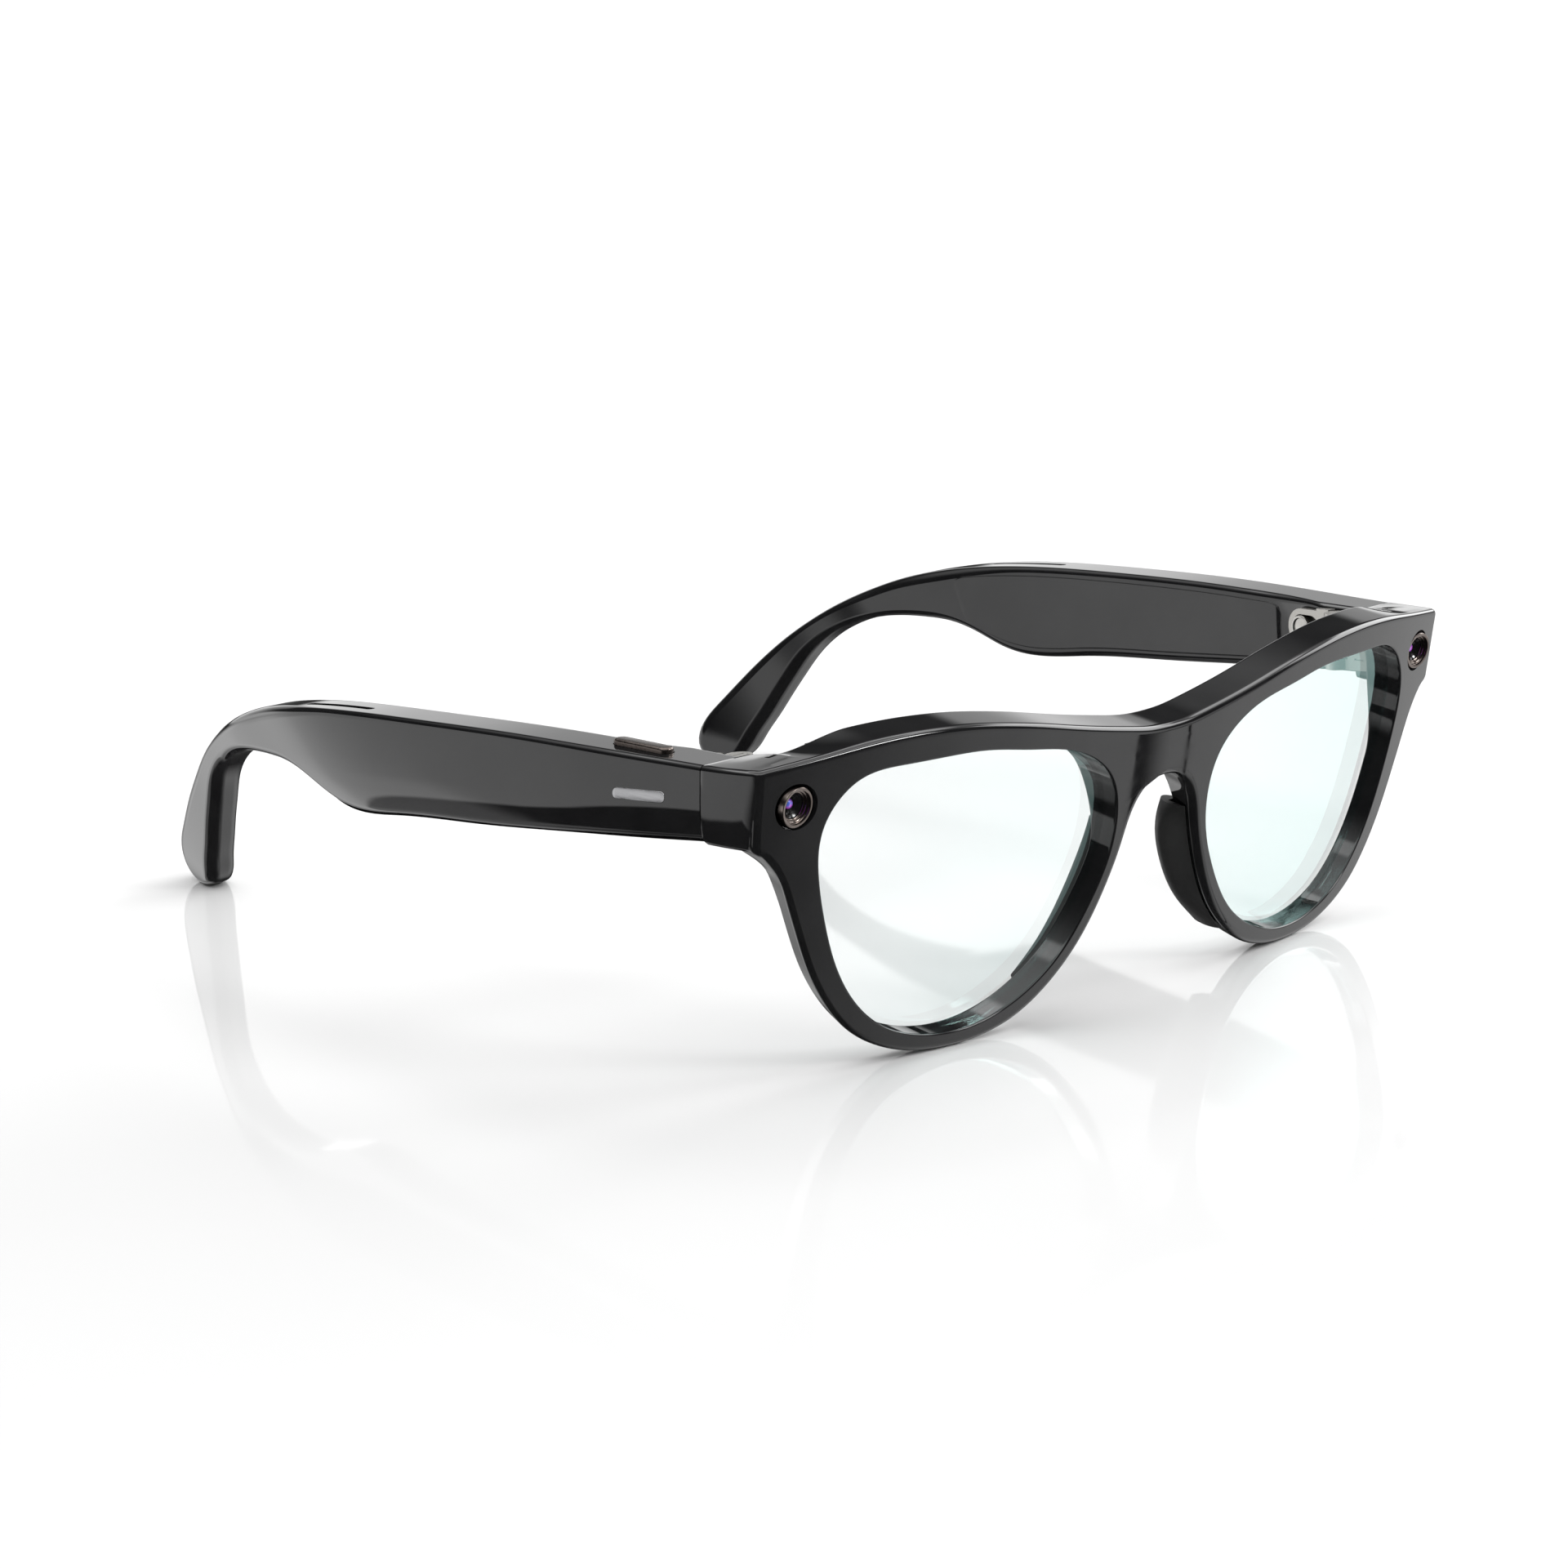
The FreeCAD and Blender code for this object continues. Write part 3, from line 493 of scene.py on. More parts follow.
def inward_normals(path):
    """Unit normals of the outline, towards the material."""
    tangent = np.gradient(path, axis=0)
    tangent[0] = (1, 0)
    tangent[-1] = (-1, 0)
    tangent /= np.linalg.norm(tangent, axis=1)[:, None]
    return np.stack([tangent[:, 1], -tangent[:, 0]], 1)


def front_half():
    """Rows of points round the rim of one half: from the lens opening over the front, the
    outline and the back, and through the opening to the start."""
    outline, opening = front_outline(), spline(OPENING, closed=True)
    opening = opening[::-1]
    edge = [stretch(outline, a, b, n) for a, b, _, _, n in STRETCHES]
    edge = np.vstack(edge + [outline[-1:]])
    hole = [stretch(opening, c, d, n, closed=True) for _, _, c, d, n in STRETCHES]
    hole.append(stretch(opening, STRETCHES[-1][3], STRETCHES[0][2], CENTRE_STEPS, closed=True))
    hole = np.vstack(hole)
    into = inward_normals(edge)
    around = np.roll(hole, -1, 0) - np.roll(hole, 1, 0)
    around /= np.linalg.norm(around, axis=1)[:, None]
    away = np.stack([-around[:, 1], around[:, 0]], 1)

    x, z = edge[:, 0], edge[:, 1]
    temporal = ease(x, 42, 56) * (1 - ease(z, 27, 31.5))
    nasal = (1 - ease(x, 22, 36)) * (1 - ease(z, 33, 36))
    brow = ease(z, 36, 40)
    front_r = FRONT_EDGE + 0.4 * nasal + 0.1 * brow
    taper = -0.27 * temporal - 0.12 * nasal
    drop = -0.19 * ease(x, 54, 64) * brow

    def outer_loop(inset, depth):
        """The outline moved in and back, then closed along the centre line."""
        place = edge + into * (inset - taper * depth)[:, None]
        place[:, 1] += drop * depth
        links = np.linspace(place[-1], place[0], CENTRE_STEPS + 1)[1:-1]
        depths = np.linspace(depth[-1], depth[0], CENTRE_STEPS + 1)[1:-1]
        place = np.vstack([place, links])
        depth = np.concatenate([depth, depths])
        return place, depth

    def hole_loop(inset, depth):
        return hole + away * inset, np.full(len(hole), depth) if np.isscalar(depth) else depth

    full = np.ones(len(edge))
    edge_back = rim_depth(z)
    hole_back = rim_depth(hole[:, 1])
    angles = [math.radians(a) for a in (0, 15, 30, 45, 60, 75, 90)]
    stages = []
    for a in angles[::-1]:
        stages.append(hole_loop(HOLE_EDGE * (1 - math.sin(a)), HOLE_EDGE * (1 - math.cos(a))))
    start = hole_loop(HOLE_EDGE + 0.08, 0.0)
    end = outer_loop(front_r + 0.08, 0.0 * full)
    for t in (0, 0.15, 0.3, 0.45, 0.6, 0.75, 0.9, 1):
        stages.append((start[0] * (1 - t) + end[0] * t, start[1] * 0))
    for a in angles:
        stages.append(outer_loop(front_r * (1 - math.sin(a)), front_r * (1 - math.cos(a))))
    for t in (0.03, 0.3, 0.6, 0.97):
        depth = front_r + (edge_back - BACK_EDGE - front_r) * t
        stages.append(outer_loop(0 * full, depth))
    for a in angles:
        stages.append(outer_loop(full * BACK_EDGE * (1 - math.cos(a)),
                                 edge_back - BACK_EDGE * (1 - math.sin(a))))
    start = outer_loop(full * (BACK_EDGE + 0.08), edge_back)
    end = hole_loop(0.45, hole_back)
    for t in (0, 0.15, 0.3, 0.45, 0.6, 0.75, 0.9, 1):
        place = start[0] * (1 - t) + end[0] * t
        stages.append((place, rim_depth(place[:, 1])))
    for a in angles:
        stages.append(hole_loop(HOLE_BACK_EDGE * (1 - math.sin(a)),
                                hole_back - HOLE_BACK_EDGE * (1 - math.cos(a))))
    for t in (0.05, 0.35, 0.65, 0.95):
        stages.append(hole_loop(0.0, (hole_back - HOLE_BACK_EDGE) * (1 - t) + HOLE_EDGE * t))

    rows = []
    for place, depth in stages:
        px = place[:, 0]
        rows.append(np.stack([px, bow(px) + depth, place[:, 1]], 1))
    return np.array(rows)


def front_mesh(name):
    """The moulded front. One end piece and its camera recess are worked into it, and the
    finished half is then mirrored."""
    rows = front_half()
    count, columns = rows.shape[:2]
    points = rows.reshape(-1, 3)
    faces = [face for face in ring_faces(count, columns, close_rows=True)
             if not all(abs(points[i][0]) < 1e-6 for i in face)]
    twin = points * np.array([-1, 1, 1])
    shifted = [tuple(i + len(points) for i in face[::-1]) for face in faces]
    obj = make(name, lean(np.vstack([points, twin])), faces + shifted)
    work = bmesh.new()
    work.from_mesh(obj.data)
    bmesh.ops.remove_doubles(work, verts=work.verts, dist=2e-6)
    loose = [v for v in work.verts if not v.link_faces]
    bmesh.ops.delete(work, geom=loose, context="VERTS")
    bmesh.ops.recalc_face_normals(work, faces=work.faces)
    work.to_mesh(obj.data)
    work.free()
    shade(obj.data, SMOOTH)
    combine(obj, end_block(), "UNION")
    combine(obj, camera_room(), "DIFFERENCE")
    work = bmesh.new()
    work.from_mesh(obj.data)
    whole = work.verts[:] + work.edges[:] + work.faces[:]
    bmesh.ops.bisect_plane(work, geom=whole, dist=1e-7, plane_co=(0, 0, 0), plane_no=(1, 0, 0),
                           clear_outer=True)
    whole = work.verts[:] + work.edges[:] + work.faces[:]
    bmesh.ops.mirror(work, geom=whole, merge_dist=2e-6, axis="X")
    bmesh.ops.recalc_face_normals(work, faces=work.faces)
    work.to_mesh(obj.data)
    work.free()
    shade(obj.data, SMOOTH)
    return obj


def end_block():
    """The right end of the brow, which carries the hinge, back to the joint face."""
    rings = []
    for share in (0.0, 0.06, 0.2, 0.35, 0.5, 0.65, 0.8, 0.9, 0.97, 1.0):
        bulge = math.sin(share * math.pi) * BLOCK_BULGE
        hidden = 0.16 if share == 0 else 0.0
        shrink = 0.0 if share < 0.96 else 0.18 * ((share - 0.96) / 0.04) ** 2
        step = hidden + shrink
        lowest = mix(*BLOCK_LOW, share)
        highest = mix(*BLOCK_HIGH, share)
        low_out = BLOCK_LOW_X[0] + (BLOCK_LOW_X[1] - BLOCK_LOW_X[0]) * share + bulge
        top_out = BLOCK_HIGH_X[0] + (BLOCK_HIGH_X[1] - BLOCK_HIGH_X[0]) * share + bulge

        def outer(y, z, a=lowest[1], b=highest[1], p=low_out, q=top_out, s=step):
            return p + (q - p) * (z - a) / (b - a) - s

        ring = section((lowest[0], lowest[1] + step), (highest[0], highest[1] - step), outer,
                       lambda y, z: BLOCK_INNER + shrink, (0.75, 0.5, 0.5, 1.0), 0.02, 0.55)
        rise = BLOCK_RISE * (1 - ease(share, 0.35, 1.0))
        forward = max(0.0, 1 - share * 4)
        rings.append([(-x, y + forward * (float(bow(x)) - bow(BLOCK_LOW_X[0])),
                       z + rise * max(0.0, BLOCK_HIGH_X[0] - x) * float(ease(z, 38, 43)))
                      for x, y, z in ring])
    return tube("end_block", rings)


def mix(a, b, share):
    """A place between a and b."""
    return tuple(p + (q - p) * share for p, q in zip(a, b))


def on_camera(side):
    """Places of a camera's own parts: depth is behind the curved front."""
    def place(ring):
        ring = ring + np.array([CAMERA[0], float(bow(CAMERA[0])), CAMERA[1]])
        return lean(ring) * np.array([side, 1, 1])
    return place


def camera_room():
    """The recess and the bore for the camera in the right end piece."""
    profile = [(RECESS_R, -4.0), (RECESS_R, RECESS_DEPTH), (BORE_R, RECESS_DEPTH),
               (BORE_R, BORE_DEPTH)]
    return lathe("camera_room", profile, on_camera(-1))


def lens_mesh(name):
    """A thin curved lens, with its polished edge just inside the rim."""
    opening = spline(OPENING, closed=True, count=241)[:-1]
    middle = opening.mean(0)
    rings = []
    for depth, shares in ((LENS_DEPTH, (0.002, 0.2, 0.4, 0.6, 0.8, 0.93, 0.985)),
                          (LENS_DEPTH + LENS_THICK, (0.985, 0.93, 0.8, 0.6, 0.4, 0.2, 0.002))):
        loops = []
        for share in shares:
            place = middle + (opening - middle) * share * LENS_REACH
            loops.append(np.stack([place[:, 0], bow(place[:, 0]) + depth, place[:, 1]], 1))
        if depth > LENS_DEPTH:
            wide = middle + (opening - middle) * LENS_REACH
            for extra in (0.25, LENS_THICK - 0.25):
                rings.append(np.stack([wide[:, 0], bow(wide[:, 0]) + LENS_DEPTH + extra,
                                       wide[:, 1]], 1))
        rings.extend(loops)
    return tube(name, lean(np.array(rings)), 40.0)


# Small pieces of the temples
def vent_room():
    """The slot for the speaker, in the top of a temple."""
    start, end = np.array(VENT_ENDS[0]), np.array(VENT_ENDS[1])
    along = (end - start) / np.linalg.norm(end - start)
    side = np.array([along[1], -along[0], 0]) / math.hypot(along[0], along[1])
    up = np.cross(side, along)
    up = up * np.sign(up[2])
    middle = (start + end) / 2
    loop = stadium_loop(np.linalg.norm(end - start), VENT_WIDTH)
    levels = [lambda a, b, h=h: middle + along * a + side * b + up * h for h in (-1.2, 3.0)]
    return prism("vent_room", loop, levels)


def on_button(a, b, height):
    """Along, across and above the temple's top at the button."""
    run = math.hypot(1, BUTTON_SLOPE)
    y = BUTTON[1] + a / run + height * BUTTON_SLOPE / run
    z = BUTTON[2] - a * BUTTON_SLOPE / run + height / run
    return (-(BUTTON[0] + b), y, z)


def button_stack(name, loops):
    """A solid from (loop, height) pairs on the temple's top at the button."""
    return tube(name, [[on_button(a, b, height) for a, b in loop] for loop, height in loops])


def badge_mesh(name):
    """A plain metal bar let into the outer face."""
    rings = []
    for inset, rise in ((0.0, -0.6), (0.0, 0.0), (0.03, 0.04), (0.1, 0.06), (0.7, 0.06)):
        ring = []
        for a, b in stadium_loop(BADGE_LENGTH, BADGE_WIDTH, inset=inset):
            y, z = BADGE_PLACE[0] + a, BADGE_PLACE[1] + b - BADGE_SLOPE * a
            ring.append((float(outer_x(y, z)) + rise, y, z))
        rings.append(ring)
    return tube(name, rings)


def on_slider(ring):
    """Depth counts from the leaf's inner face towards the head."""
    ring = np.asarray(ring)
    local = np.stack([LEAF_FACE + 1.0 - ring[:, 1], SLIDER_PLACE + ring[:, 0],
                      SLIDER_UP + ring[:, 2]], 1)
    return at_hinge(local, -LEAF_ANGLE)


# Materials
def material(name):
    """A new material with its tree, its shader and its output."""
    mat = bpy.data.materials.new(name)
    mat.use_nodes = True
    tree = mat.node_tree
    return mat, tree, tree.nodes["Principled BSDF"], tree.nodes["Material Output"]


def noise(tree, scale, detail=3.0, stretch_by=(1, 1, 1)):
    """Noise in the object's own space, in metres."""
    coord = tree.nodes.new("ShaderNodeTexCoord")
    mapping = tree.nodes.new("ShaderNodeMapping")
    mapping.inputs["Scale"].default_value = stretch_by
    node = tree.nodes.new("ShaderNodeTexNoise")
    node.inputs["Scale"].default_value = scale
    node.inputs["Detail"].default_value = detail
    tree.links.new(coord.outputs["Object"], mapping.inputs["Vector"])
    tree.links.new(mapping.outputs["Vector"], node.inputs["Vector"])
    return node.outputs["Fac"]


def ramp(tree, value, low, high, start=0.35, end=0.65):
    """Turn a value into a colour, or a grey level, between low and high."""
    node = tree.nodes.new("ShaderNodeValToRGB")
    for element, place, level in zip(node.color_ramp.elements, (start, end), (low, high)):
        element.position = place
        element.color = tuple(level) + (1,) if hasattr(level, "__len__") else (level,) * 3 + (1,)
    tree.links.new(value, node.inputs["Fac"])
    return node.outputs["Color"]


def bump(tree, shader, value, strength, distance=0.0001):
    """Let the value raise the surface a little."""
    node = tree.nodes.new("ShaderNodeBump")
    node.inputs["Strength"].default_value = strength
    node.inputs["Distance"].default_value = distance
    tree.links.new(value, node.inputs["Height"])
    tree.links.new(node.outputs["Normal"], shader.inputs["Normal"])


def plastic(name, dark, light, rough, grain, depth=0.015, coat=0.0, scale=500.0):
    """Moulded plastic: faint cloudy colour, uneven polish and a fine skin."""
    mat, tree, shader, _ = material(name)
    cloud = noise(tree, 140.0)
    tree.links.new(ramp(tree, cloud, dark, light), shader.inputs["Base Color"])
    tree.links.new(ramp(tree, noise(tree, 420.0), rough, rough + grain),
                   shader.inputs["Roughness"])
    shader.inputs["Coat Weight"].default_value = coat
    shader.inputs["Coat Roughness"].default_value = 0.04
    bump(tree, shader, noise(tree, scale), depth, 0.00002)
    return mat


def metal(name, dark, light, rough, grain, stretch_by=(1, 1, 1), depth=0.12, scale=2600.0):
    """Metal with a directional brushed or blasted finish."""
    mat, tree, shader, _ = material(name)
    shader.inputs["Metallic"].default_value = 1.0
    fine = noise(tree, scale, 2.0, stretch_by)
    tree.links.new(ramp(tree, fine, dark, light, 0.3, 0.7), shader.inputs["Base Color"])
    tree.links.new(ramp(tree, fine, rough, rough + grain, 0.3, 0.7),
                   shader.inputs["Roughness"])
    bump(tree, shader, fine, depth, 0.00002)
    return mat


def clear_glass(name):
    """Faintly tinted lens: reflection by angle over see-through plastic."""
    mat, tree, shader, output = material(name)
    tree.nodes.remove(shader)
    clear = tree.nodes.new("ShaderNodeBsdfTransparent")
    gloss = tree.nodes.new("ShaderNodeBsdfGlossy")
    blend = tree.nodes.new("ShaderNodeMixShader")
    facing = tree.nodes.new("ShaderNodeLayerWeight")
    facing.inputs["Blend"].default_value = 0.5
    steep = tree.nodes.new("ShaderNodeMath")
    steep.operation = "POWER"
    steep.inputs[1].default_value = 2.5
    share = tree.nodes.new("ShaderNodeMapRange")
    share.inputs["To Min"].default_value = 0.03
    share.inputs["To Max"].default_value = 0.7
    gloss.inputs["Color"].default_value = (0.55, 0.83, 0.8, 1)
    tree.links.new(facing.outputs["Facing"], steep.inputs[0])
    tree.links.new(steep.outputs[0], share.inputs["Value"])
    tree.links.new(ramp(tree, noise(tree, 260.0), 0.0, 0.012), gloss.inputs["Roughness"])
    tint = ramp(tree, noise(tree, 30.0), (0.985, 0.994, 0.993), (0.99, 0.997, 0.996))
    tree.links.new(tint, clear.inputs["Color"])
    tree.links.new(share.outputs["Result"], blend.inputs["Fac"])
    tree.links.new(clear.outputs["BSDF"], blend.inputs[1])
    tree.links.new(gloss.outputs["BSDF"], blend.inputs[2])
    tree.links.new(blend.outputs["Shader"], output.inputs["Surface"])
    return mat


def eye_glass_painted_glow(name):
    """Coated lens glass, violet and blue in patches, with a painted glow in the same colours
    that stands in for highlights.
    """
    mat, tree, shader, _ = material(name)
    tint = ramp(tree, noise(tree, 1500.0), (0.5, 0.08, 0.6), (0.12, 0.2, 0.8), 0.42, 0.6)
    tree.links.new(tint, shader.inputs["Base Color"])
    # Painted glow: the coating colour is also given off as faint light, standing in for violet
    # and blue highlights
    tree.links.new(tint, shader.inputs["Emission Color"])
    shader.inputs["Emission Strength"].default_value = 0.14
    shader.inputs["Metallic"].default_value = 0.25
    shader.inputs["Roughness"].default_value = 0.12
    shader.inputs["Coat Weight"].default_value = 1.0
    shader.inputs["Coat Roughness"].default_value = 0.01
    shader.inputs["Coat IOR"].default_value = 1.8
    return mat


def spun_metal(name, colour, centre):
    """Metal turned on a lathe: fine rings round the given centre."""
    mat, tree, shader, _ = material(name)
    shader.inputs["Metallic"].default_value = 1.0
    coord = tree.nodes.new("ShaderNodeTexCoord")
    mapping = tree.nodes.new("ShaderNodeMapping")
    mapping.inputs["Location"].default_value = [-value for value in centre]
    wave = tree.nodes.new("ShaderNodeTexWave")
    wave.wave_type = "RINGS"
    wave.rings_direction = "X"
    wave.inputs["Scale"].default_value = 1400.0
    wave.inputs["Distortion"].default_value = 1.5
    tree.links.new(coord.outputs["Object"], mapping.inputs["Vector"])
    tree.links.new(mapping.outputs["Vector"], wave.inputs["Vector"])
    fine = wave.outputs["Fac"]
    dark = tuple(value * 0.8 for value in colour)
    tree.links.new(ramp(tree, fine, dark, colour, 0.0, 1.0), shader.inputs["Base Color"])
    tree.links.new(ramp(tree, fine, 0.22, 0.36, 0.0, 1.0), shader.inputs["Roughness"])
    bump(tree, shader, fine, 0.25, 0.00003)
    return mat


def mesh_cloth(name):
    """Woven acoustic mesh: a fine grid of holes."""
    mat, tree, shader, _ = material(name)
    coord = tree.nodes.new("ShaderNodeTexCoord")
    cells = tree.nodes.new("ShaderNodeTexVoronoi")
    cells.inputs["Scale"].default_value = 3200.0
    cells.inputs["Randomness"].default_value = 0.1
    tree.links.new(coord.outputs["Object"], cells.inputs["Vector"])
    holes = cells.outputs["Distance"]
    tree.links.new(ramp(tree, holes, (0.05, 0.05, 0.055), (0.004, 0.004, 0.004), 0.25, 0.5),
                   shader.inputs["Base Color"])
    shader.inputs["Roughness"].default_value = 0.6
    bump(tree, shader, holes, 0.6, 0.00006)
    return mat


GLOSS = plastic("frame_gloss", (0.006, 0.006, 0.0065), (0.009, 0.009, 0.0095), 0.02, 0.03)
COVER = plastic("cover_gloss", (0.007, 0.007, 0.0075), (0.011, 0.011, 0.0115), 0.03, 0.05)
BUTTON_SKIN = metal("button_bronze", (0.09, 0.075, 0.068), (0.13, 0.11, 0.1), 0.25, 0.12)
PAD = plastic("soft_pad", (0.012, 0.012, 0.0125), (0.018, 0.018, 0.018), 0.5, 0.12, 0.4, 0,
              1500.0)
MODULE = plastic("module_black", (0.003, 0.003, 0.003), (0.006, 0.006, 0.006), 0.12, 0.08)
BOARD = plastic("circuit_board", (0.01, 0.05, 0.03), (0.015, 0.08, 0.045), 0.35, 0.15, 0.3)
FILM = plastic("flex_film", (0.25, 0.1, 0.02), (0.35, 0.15, 0.04), 0.3, 0.1, 0.2)
WRAP = plastic("battery_wrap", (0.02, 0.03, 0.06), (0.03, 0.04, 0.08), 0.35, 0.1, 0.2)
STEEL = metal("hinge_steel", (0.36, 0.35, 0.33), (0.42, 0.41, 0.39), 0.36, 0.1, (1, 0.12, 1),
              0.05)
GOLD = metal("gold_contact", (0.7, 0.48, 0.2), (0.85, 0.6, 0.28), 0.2, 0.1)
BADGE = metal("badge_metal", (0.3, 0.3, 0.31), (0.4, 0.4, 0.41), 0.26, 0.1, (1, 0.1, 1))
LENS = clear_glass("clear_lens")
EYE = eye_glass_painted_glow("coated_glass")
MESH = mesh_cloth("sound_mesh")
BRONZE = metal("bronze_ring", (0.15, 0.128, 0.117), (0.19, 0.163, 0.148), 0.2, 0.06, depth=0.01,
               scale=700.0)

LOOKS = {"front_frame": GLOSS, "brow_rear_cover": COVER, "bridge_flex_circuit": FILM,
         "charging_contacts": GOLD, "brow_microphones": MODULE, "lens": LENS,
         "nose_pad": PAD, "camera_ring": BRONZE, "camera_barrel": MODULE,
         "camera_eye": EYE, "camera_sensor": BOARD, "hinge": STEEL, "temple_shell": GLOSS,
         "temple_inner_cover": COVER, "temple_badge": BADGE, "speaker_grille": MESH,
         "speaker": MODULE, "battery": WRAP, "power_switch": MODULE, "main_board": BOARD,
         "touch_sensor": FILM, "capture_switch": MODULE, "power_slider": STEEL,
         "capture_button": BUTTON_SKIN}


def look_of(node):
    """The material of a CAD node: the longest key its name starts with."""
    return LOOKS[max((key for key in LOOKS if node.startswith(key)), key=len)]


def paint(obj, mat):
    """Give a piece its only material."""
    obj.data.materials.clear()
    obj.data.materials.append(mat)


def piece(obj, body, slot, mat, *nodes):
    """Give a detailed piece its finish and its body, and let it stand for CAD nodes."""
    paint(obj, mat)
    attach(obj, body)
    if nodes:
        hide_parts(*nodes)


for node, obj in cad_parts.items():
    for slot in obj.material_slots:
        slot.material = look_of(node)
    if node.startswith("hinge"):
        bevel = obj.modifiers.new("soft_edges", "BEVEL")
        bevel.width = 0.00012
        bevel.segments = 2
        bevel.limit_method = "ANGLE"

# Front
piece(front_mesh("front_shell"), "front", "frame_gloss", GLOSS, "front_frame")
lens = lens_mesh("lens_pane_left")
for obj, side in ((lens, "left"), (mirror_copy(lens, "lens_pane_right"), "right")):
    piece(obj, "front", "clear_lens", LENS, "lens_" + side)

# Camera parts as (radius, depth) pairs: bronze ring, stepped barrel and domed eye
RING = [(2.6, 4.5), (2.75, 4.4), (2.75, -0.12), (2.72, -0.2), (2.64, -0.25), (2.38, -0.25),
        (2.32, -0.22), (2.3, -0.16), (2.3, 0.1), (2.26, 0.15), (2.06, 0.15), (2.01, 0.19),
        (2.0, 0.24), (2.0, 0.46), (1.96, 0.5), (1.82, 0.5), (1.76, 0.55), (1.75, 0.62),
        (1.75, 4.5)]
BARREL = [(1.74, 4.2), (1.74, 0.75), (1.66, 0.7), (1.6, 0.74), (1.35, 0.95), (1.33, 0.95),
          (1.12, 1.15), (1.1, 1.15), (0.68, 1.4), (0.66, 1.5), (0.66, 4.2)]
EYE_DOME = [(0.02, 1.05), (0.22, 1.065), (0.38, 1.12), (0.52, 1.21), (0.62, 1.36),
            (0.66, 1.5), (0.66, 3.0)]
for side, sign in (("left", 1), ("right", -1)):
    spot = on_camera(sign)
    piece(hollow("camera_bezel_" + side, RING, spot), "front", "bronze_ring", BRONZE,
          "camera_ring_" + side)
    piece(hollow("camera_cone_" + side, BARREL, spot), "front", "module_black", MODULE,
          "camera_barrel_" + side)
    piece(lathe("camera_dome_" + side, EYE_DOME, spot), "front", "coated_glass", EYE,
          "camera_eye_" + side)

# Temples
left = temple_mesh("temple_body_left")
right = mirror_copy(left, "temple_body_right")
vent = vent_room()
vent_twin = mirror_copy(vent, "vent_room_right")
combine(left, vent, "DIFFERENCE")
combine(right, vent_twin, "DIFFERENCE")
pocket = stadium_loop(BUTTON_LENGTH + 2 * BUTTON_GAP, BUTTON_WIDTH + 2 * BUTTON_GAP)
room = button_stack("button_room", [(pocket, POCKET_FLOOR), (pocket, 3.0)])
combine(right, room, "DIFFERENCE")
piece(left, "temple_left", "frame_gloss", GLOSS, "temple_shell_left")
piece(right, "temple_right", "frame_gloss", GLOSS, "temple_shell_right")

layers = [(stadium_loop(BUTTON_LENGTH, BUTTON_WIDTH), BUTTON_FOOT),
          (stadium_loop(BUTTON_LENGTH, BUTTON_WIDTH), BUTTON_RISE - BUTTON_EDGE)]
for angle in (15, 30, 45, 60, 75, 90):
    a = math.radians(angle)
    inset = BUTTON_EDGE * (1 - math.cos(a))
    layers.append((stadium_loop(BUTTON_LENGTH, BUTTON_WIDTH, inset=inset),
                   BUTTON_RISE - BUTTON_EDGE * (1 - math.sin(a))))
layers.append((stadium_loop(BUTTON_LENGTH, BUTTON_WIDTH, inset=0.8), BUTTON_RISE + 0.03))
piece(button_stack("button_cap", layers), "capture_button", "bronze_ring", BUTTON_SKIN,
      "capture_button")

cover = cover_mesh("temple_lining_left")
for obj, side in ((cover, "left"), (mirror_copy(cover, "temple_lining_right"), "right")):
    piece(obj, "temple_" + side, "cover_gloss", COVER, "temple_inner_cover_" + side)

badge = badge_mesh("temple_inlay_left")
for obj, side in ((badge, "left"), (mirror_copy(badge, "temple_inlay_right"), "right")):
    piece(obj, "temple_" + side, "badge_metal", BADGE, "temple_badge_" + side)

# Power knob: a low drum with a rounded, slightly dished head
KNOB_TOP = SLIDER_HEIGHT + 0.6
KNOB = [(0.02, -0.6), (1.85, -0.6), (SLIDER_R, -0.5), (SLIDER_R, KNOB_TOP - 0.15),
        (SLIDER_R - 0.05, KNOB_TOP - 0.04), (SLIDER_R - 0.16, KNOB_TOP),
        (SLIDER_R - 0.4, KNOB_TOP), (SLIDER_R - 0.5, KNOB_TOP - 0.1),
        (SLIDER_R - 0.55, KNOB_TOP - 0.22), (0.5, KNOB_TOP - 0.14), (0.02, KNOB_TOP - 0.12)]
knob_middle = on_slider(np.array([[0, 0, 0]]))[0]
knob_centre = (knob_middle - np.array([0, LENGTH_SHIFT, 0])) * MM
KNOB_SKIN = spun_metal("knob_steel", (0.45, 0.44, 0.42), knob_centre)
piece(lathe("slider_knob", KNOB, on_slider), "power_slider", "knob_steel", KNOB_SKIN,
      "power_slider")

# Camera
camera_data = bpy.data.cameras.new("view")
camera_data.lens = 93.135
camera_data.sensor_width = 36.0
camera_data.clip_start = 0.01
camera_data.clip_end = 50.0
camera = bpy.data.objects.new("view", camera_data)
camera.location = (-0.423169, -0.418998, 0.168262)
camera.rotation_euler = (math.radians(90 - 14.167), 0, math.radians(-45.244))
bpy.context.scene.collection.objects.link(camera)
bpy.context.scene.camera = camera
bpy.context.scene.view_settings.view_transform = "Standard"

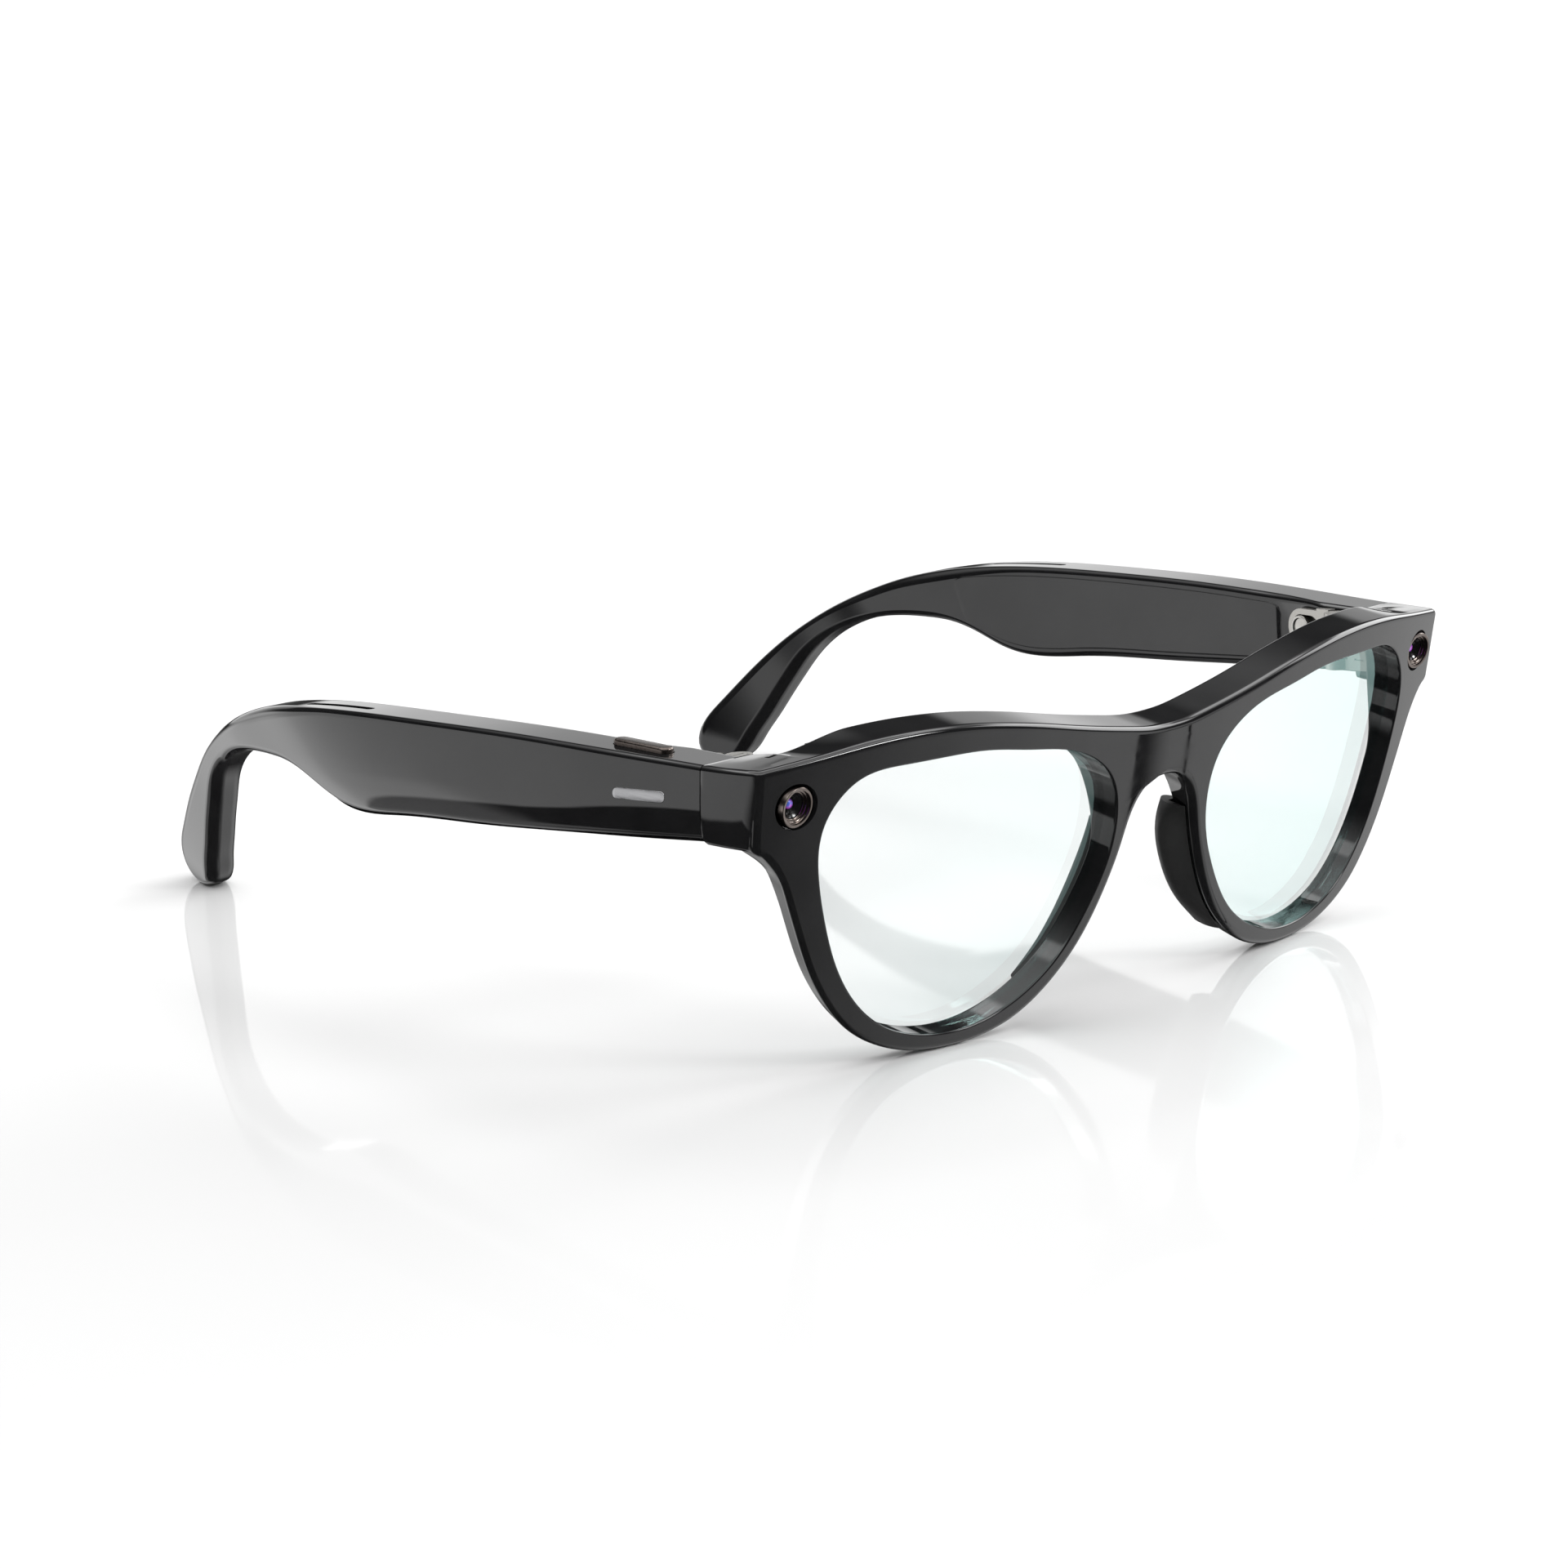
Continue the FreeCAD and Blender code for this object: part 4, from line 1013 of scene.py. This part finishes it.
# Floor: a wide pale sheet, lightly polished
angles = np.linspace(0, 2 * math.pi, 96, endpoint=False)
radii = (0.02, 0.2, 0.6, 1.5, 4.0, 12.0)
floor_points = [(r * math.cos(a), r * math.sin(a), 0) for r in radii for a in angles]
floor_mesh = bpy.data.meshes.new("floor")
floor_faces = ring_faces(len(radii), len(angles)) + [tuple(range(len(angles)))]
floor_mesh.from_pydata(floor_points, [], floor_faces)
floor = bpy.data.objects.new("floor", floor_mesh)
bpy.context.scene.collection.objects.link(floor)
floor_mat, tree, shader, _ = material("floor_white")
tree.links.new(ramp(tree, noise(tree, 3.0), (0.86, 0.86, 0.86), (0.88, 0.88, 0.88)),
               shader.inputs["Base Color"])
shader.inputs["Roughness"].default_value = 0.45
shader.inputs["Coat Weight"].default_value = 1.0
shader.inputs["Coat IOR"].default_value = 3.2
shader.inputs["Coat Roughness"].default_value = 0.05
floor_mesh.materials.append(floor_mat)
floor.visible_glossy = False

# Studio light all round, softer and darker where nothing stands
world = bpy.data.worlds.new("studio")
bpy.context.scene.world = world
world.use_nodes = True
tree = world.node_tree
background = tree.nodes["Background"]
direction = tree.nodes.new("ShaderNodeTexCoord").outputs["Generated"]


def math_node(operation, a, b):
    """Work out a operation b in the world's node tree."""
    node = tree.nodes.new("ShaderNodeMath")
    node.operation = operation
    for socket, value in zip(node.inputs, (a, b)):
        if isinstance(value, (int, float)):
            socket.default_value = value
        else:
            tree.links.new(value, socket)
    return node.outputs[0]


def smooth_step(value, start, end, top):
    """From 0 at start to top at end."""
    node = tree.nodes.new("ShaderNodeMapRange")
    node.interpolation_type = "SMOOTHSTEP"
    node.inputs["From Min"].default_value = start
    node.inputs["From Max"].default_value = end
    node.inputs["To Max"].default_value = top
    tree.links.new(value, node.inputs["Value"])
    return node.outputs["Result"]


def in_degrees(value):
    """An angle in radians as degrees."""
    return math_node("DIVIDE", value, math.pi / 180)


parts = tree.nodes.new("ShaderNodeSeparateXYZ")
tree.links.new(direction, parts.inputs[0])
elevation = in_degrees(math_node("ARCSINE", parts.outputs["Z"], 0))
backwards = math_node("MULTIPLY", parts.outputs["Y"], -1)
azimuth = math_node("ARCTAN2", parts.outputs["X"], backwards)
azimuth = math_node("MODULO", math_node("ADD", in_degrees(azimuth), 360), 360)


def panel(left, right, low, high, strength):
    """A soft box. Each edge is (where it starts to glow, where it is full) in degrees;
    azimuth counts from the front towards +X."""
    glow = smooth_step(azimuth, left[0], left[1], strength)
    glow = math_node("MULTIPLY", glow, smooth_step(azimuth, right[0], right[1], 1))
    glow = math_node("MULTIPLY", glow, smooth_step(elevation, low[0], low[1], 1))
    return math_node("MULTIPLY", glow, smooth_step(elevation, high[0], high[1], 1))


SIDE_BOX, OVERHEAD, STRIP = 1.35, 1.9, 2.5
FILL = 0.045
PANELS = [((12, 46), (51.3, 51.1), (-75, -50), (4, -2), 1.1),      # front right
          ((51.8, 54.6), (56.2, 56.1), (-75, -50), (4, -2), 1.1),  # right, beside a thin gap
          ((56.4, 56.5), (125, 85), (-75, -50), (4, -2), 1.1),     # right
          ((185, 200), (224, 219), (-50, -44), (-12, -20), 0.6),   # left, very low
          ((95, 115), (178, 160), (-3, 0), (20, 16), 0.66),        # behind right
          ((70, 95), (200, 170), (-3, 0), (11, 4), 0.6),           # low behind
          ((138, 152), (205, 188), (-60, -50), (-4, -12), 0.55),   # behind, low
          ((52, 62), (112, 100), (8, 16), (42, 36), 6.0),          # high right
          ((15, 20), (40, 32), (27, 28), (35, 34), 30.0)]          # narrow, high in front
light = math_node("ADD", smooth_step(elevation, 30, 62, OVERHEAD), FILL)
strip = math_node("MULTIPLY", smooth_step(elevation, 46, 49, STRIP),
                  smooth_step(elevation, 57, 54, 1))
light = math_node("ADD", light, strip)
# The left soft box has a peaked lower edge
peak = math_node("MULTIPLY", math_node("ABSOLUTE", math_node("SUBTRACT", azimuth, 236), 0), 0.6)
left_box = smooth_step(math_node("ADD", elevation, peak), -13.5, -11.5, SIDE_BOX)
left_box = math_node("MULTIPLY", left_box, smooth_step(elevation, 9, 5, 1))
left_box = math_node("MULTIPLY", left_box, smooth_step(azimuth, 165, 185, 1))
left_box = math_node("MULTIPLY", left_box, smooth_step(azimuth, 274, 254, 1))
light = math_node("ADD", light, left_box)
for values in PANELS:
    light = math_node("ADD", panel(*values), light)
tree.links.new(light, background.inputs["Strength"])
background.inputs["Color"].default_value = (1, 1, 1, 1)
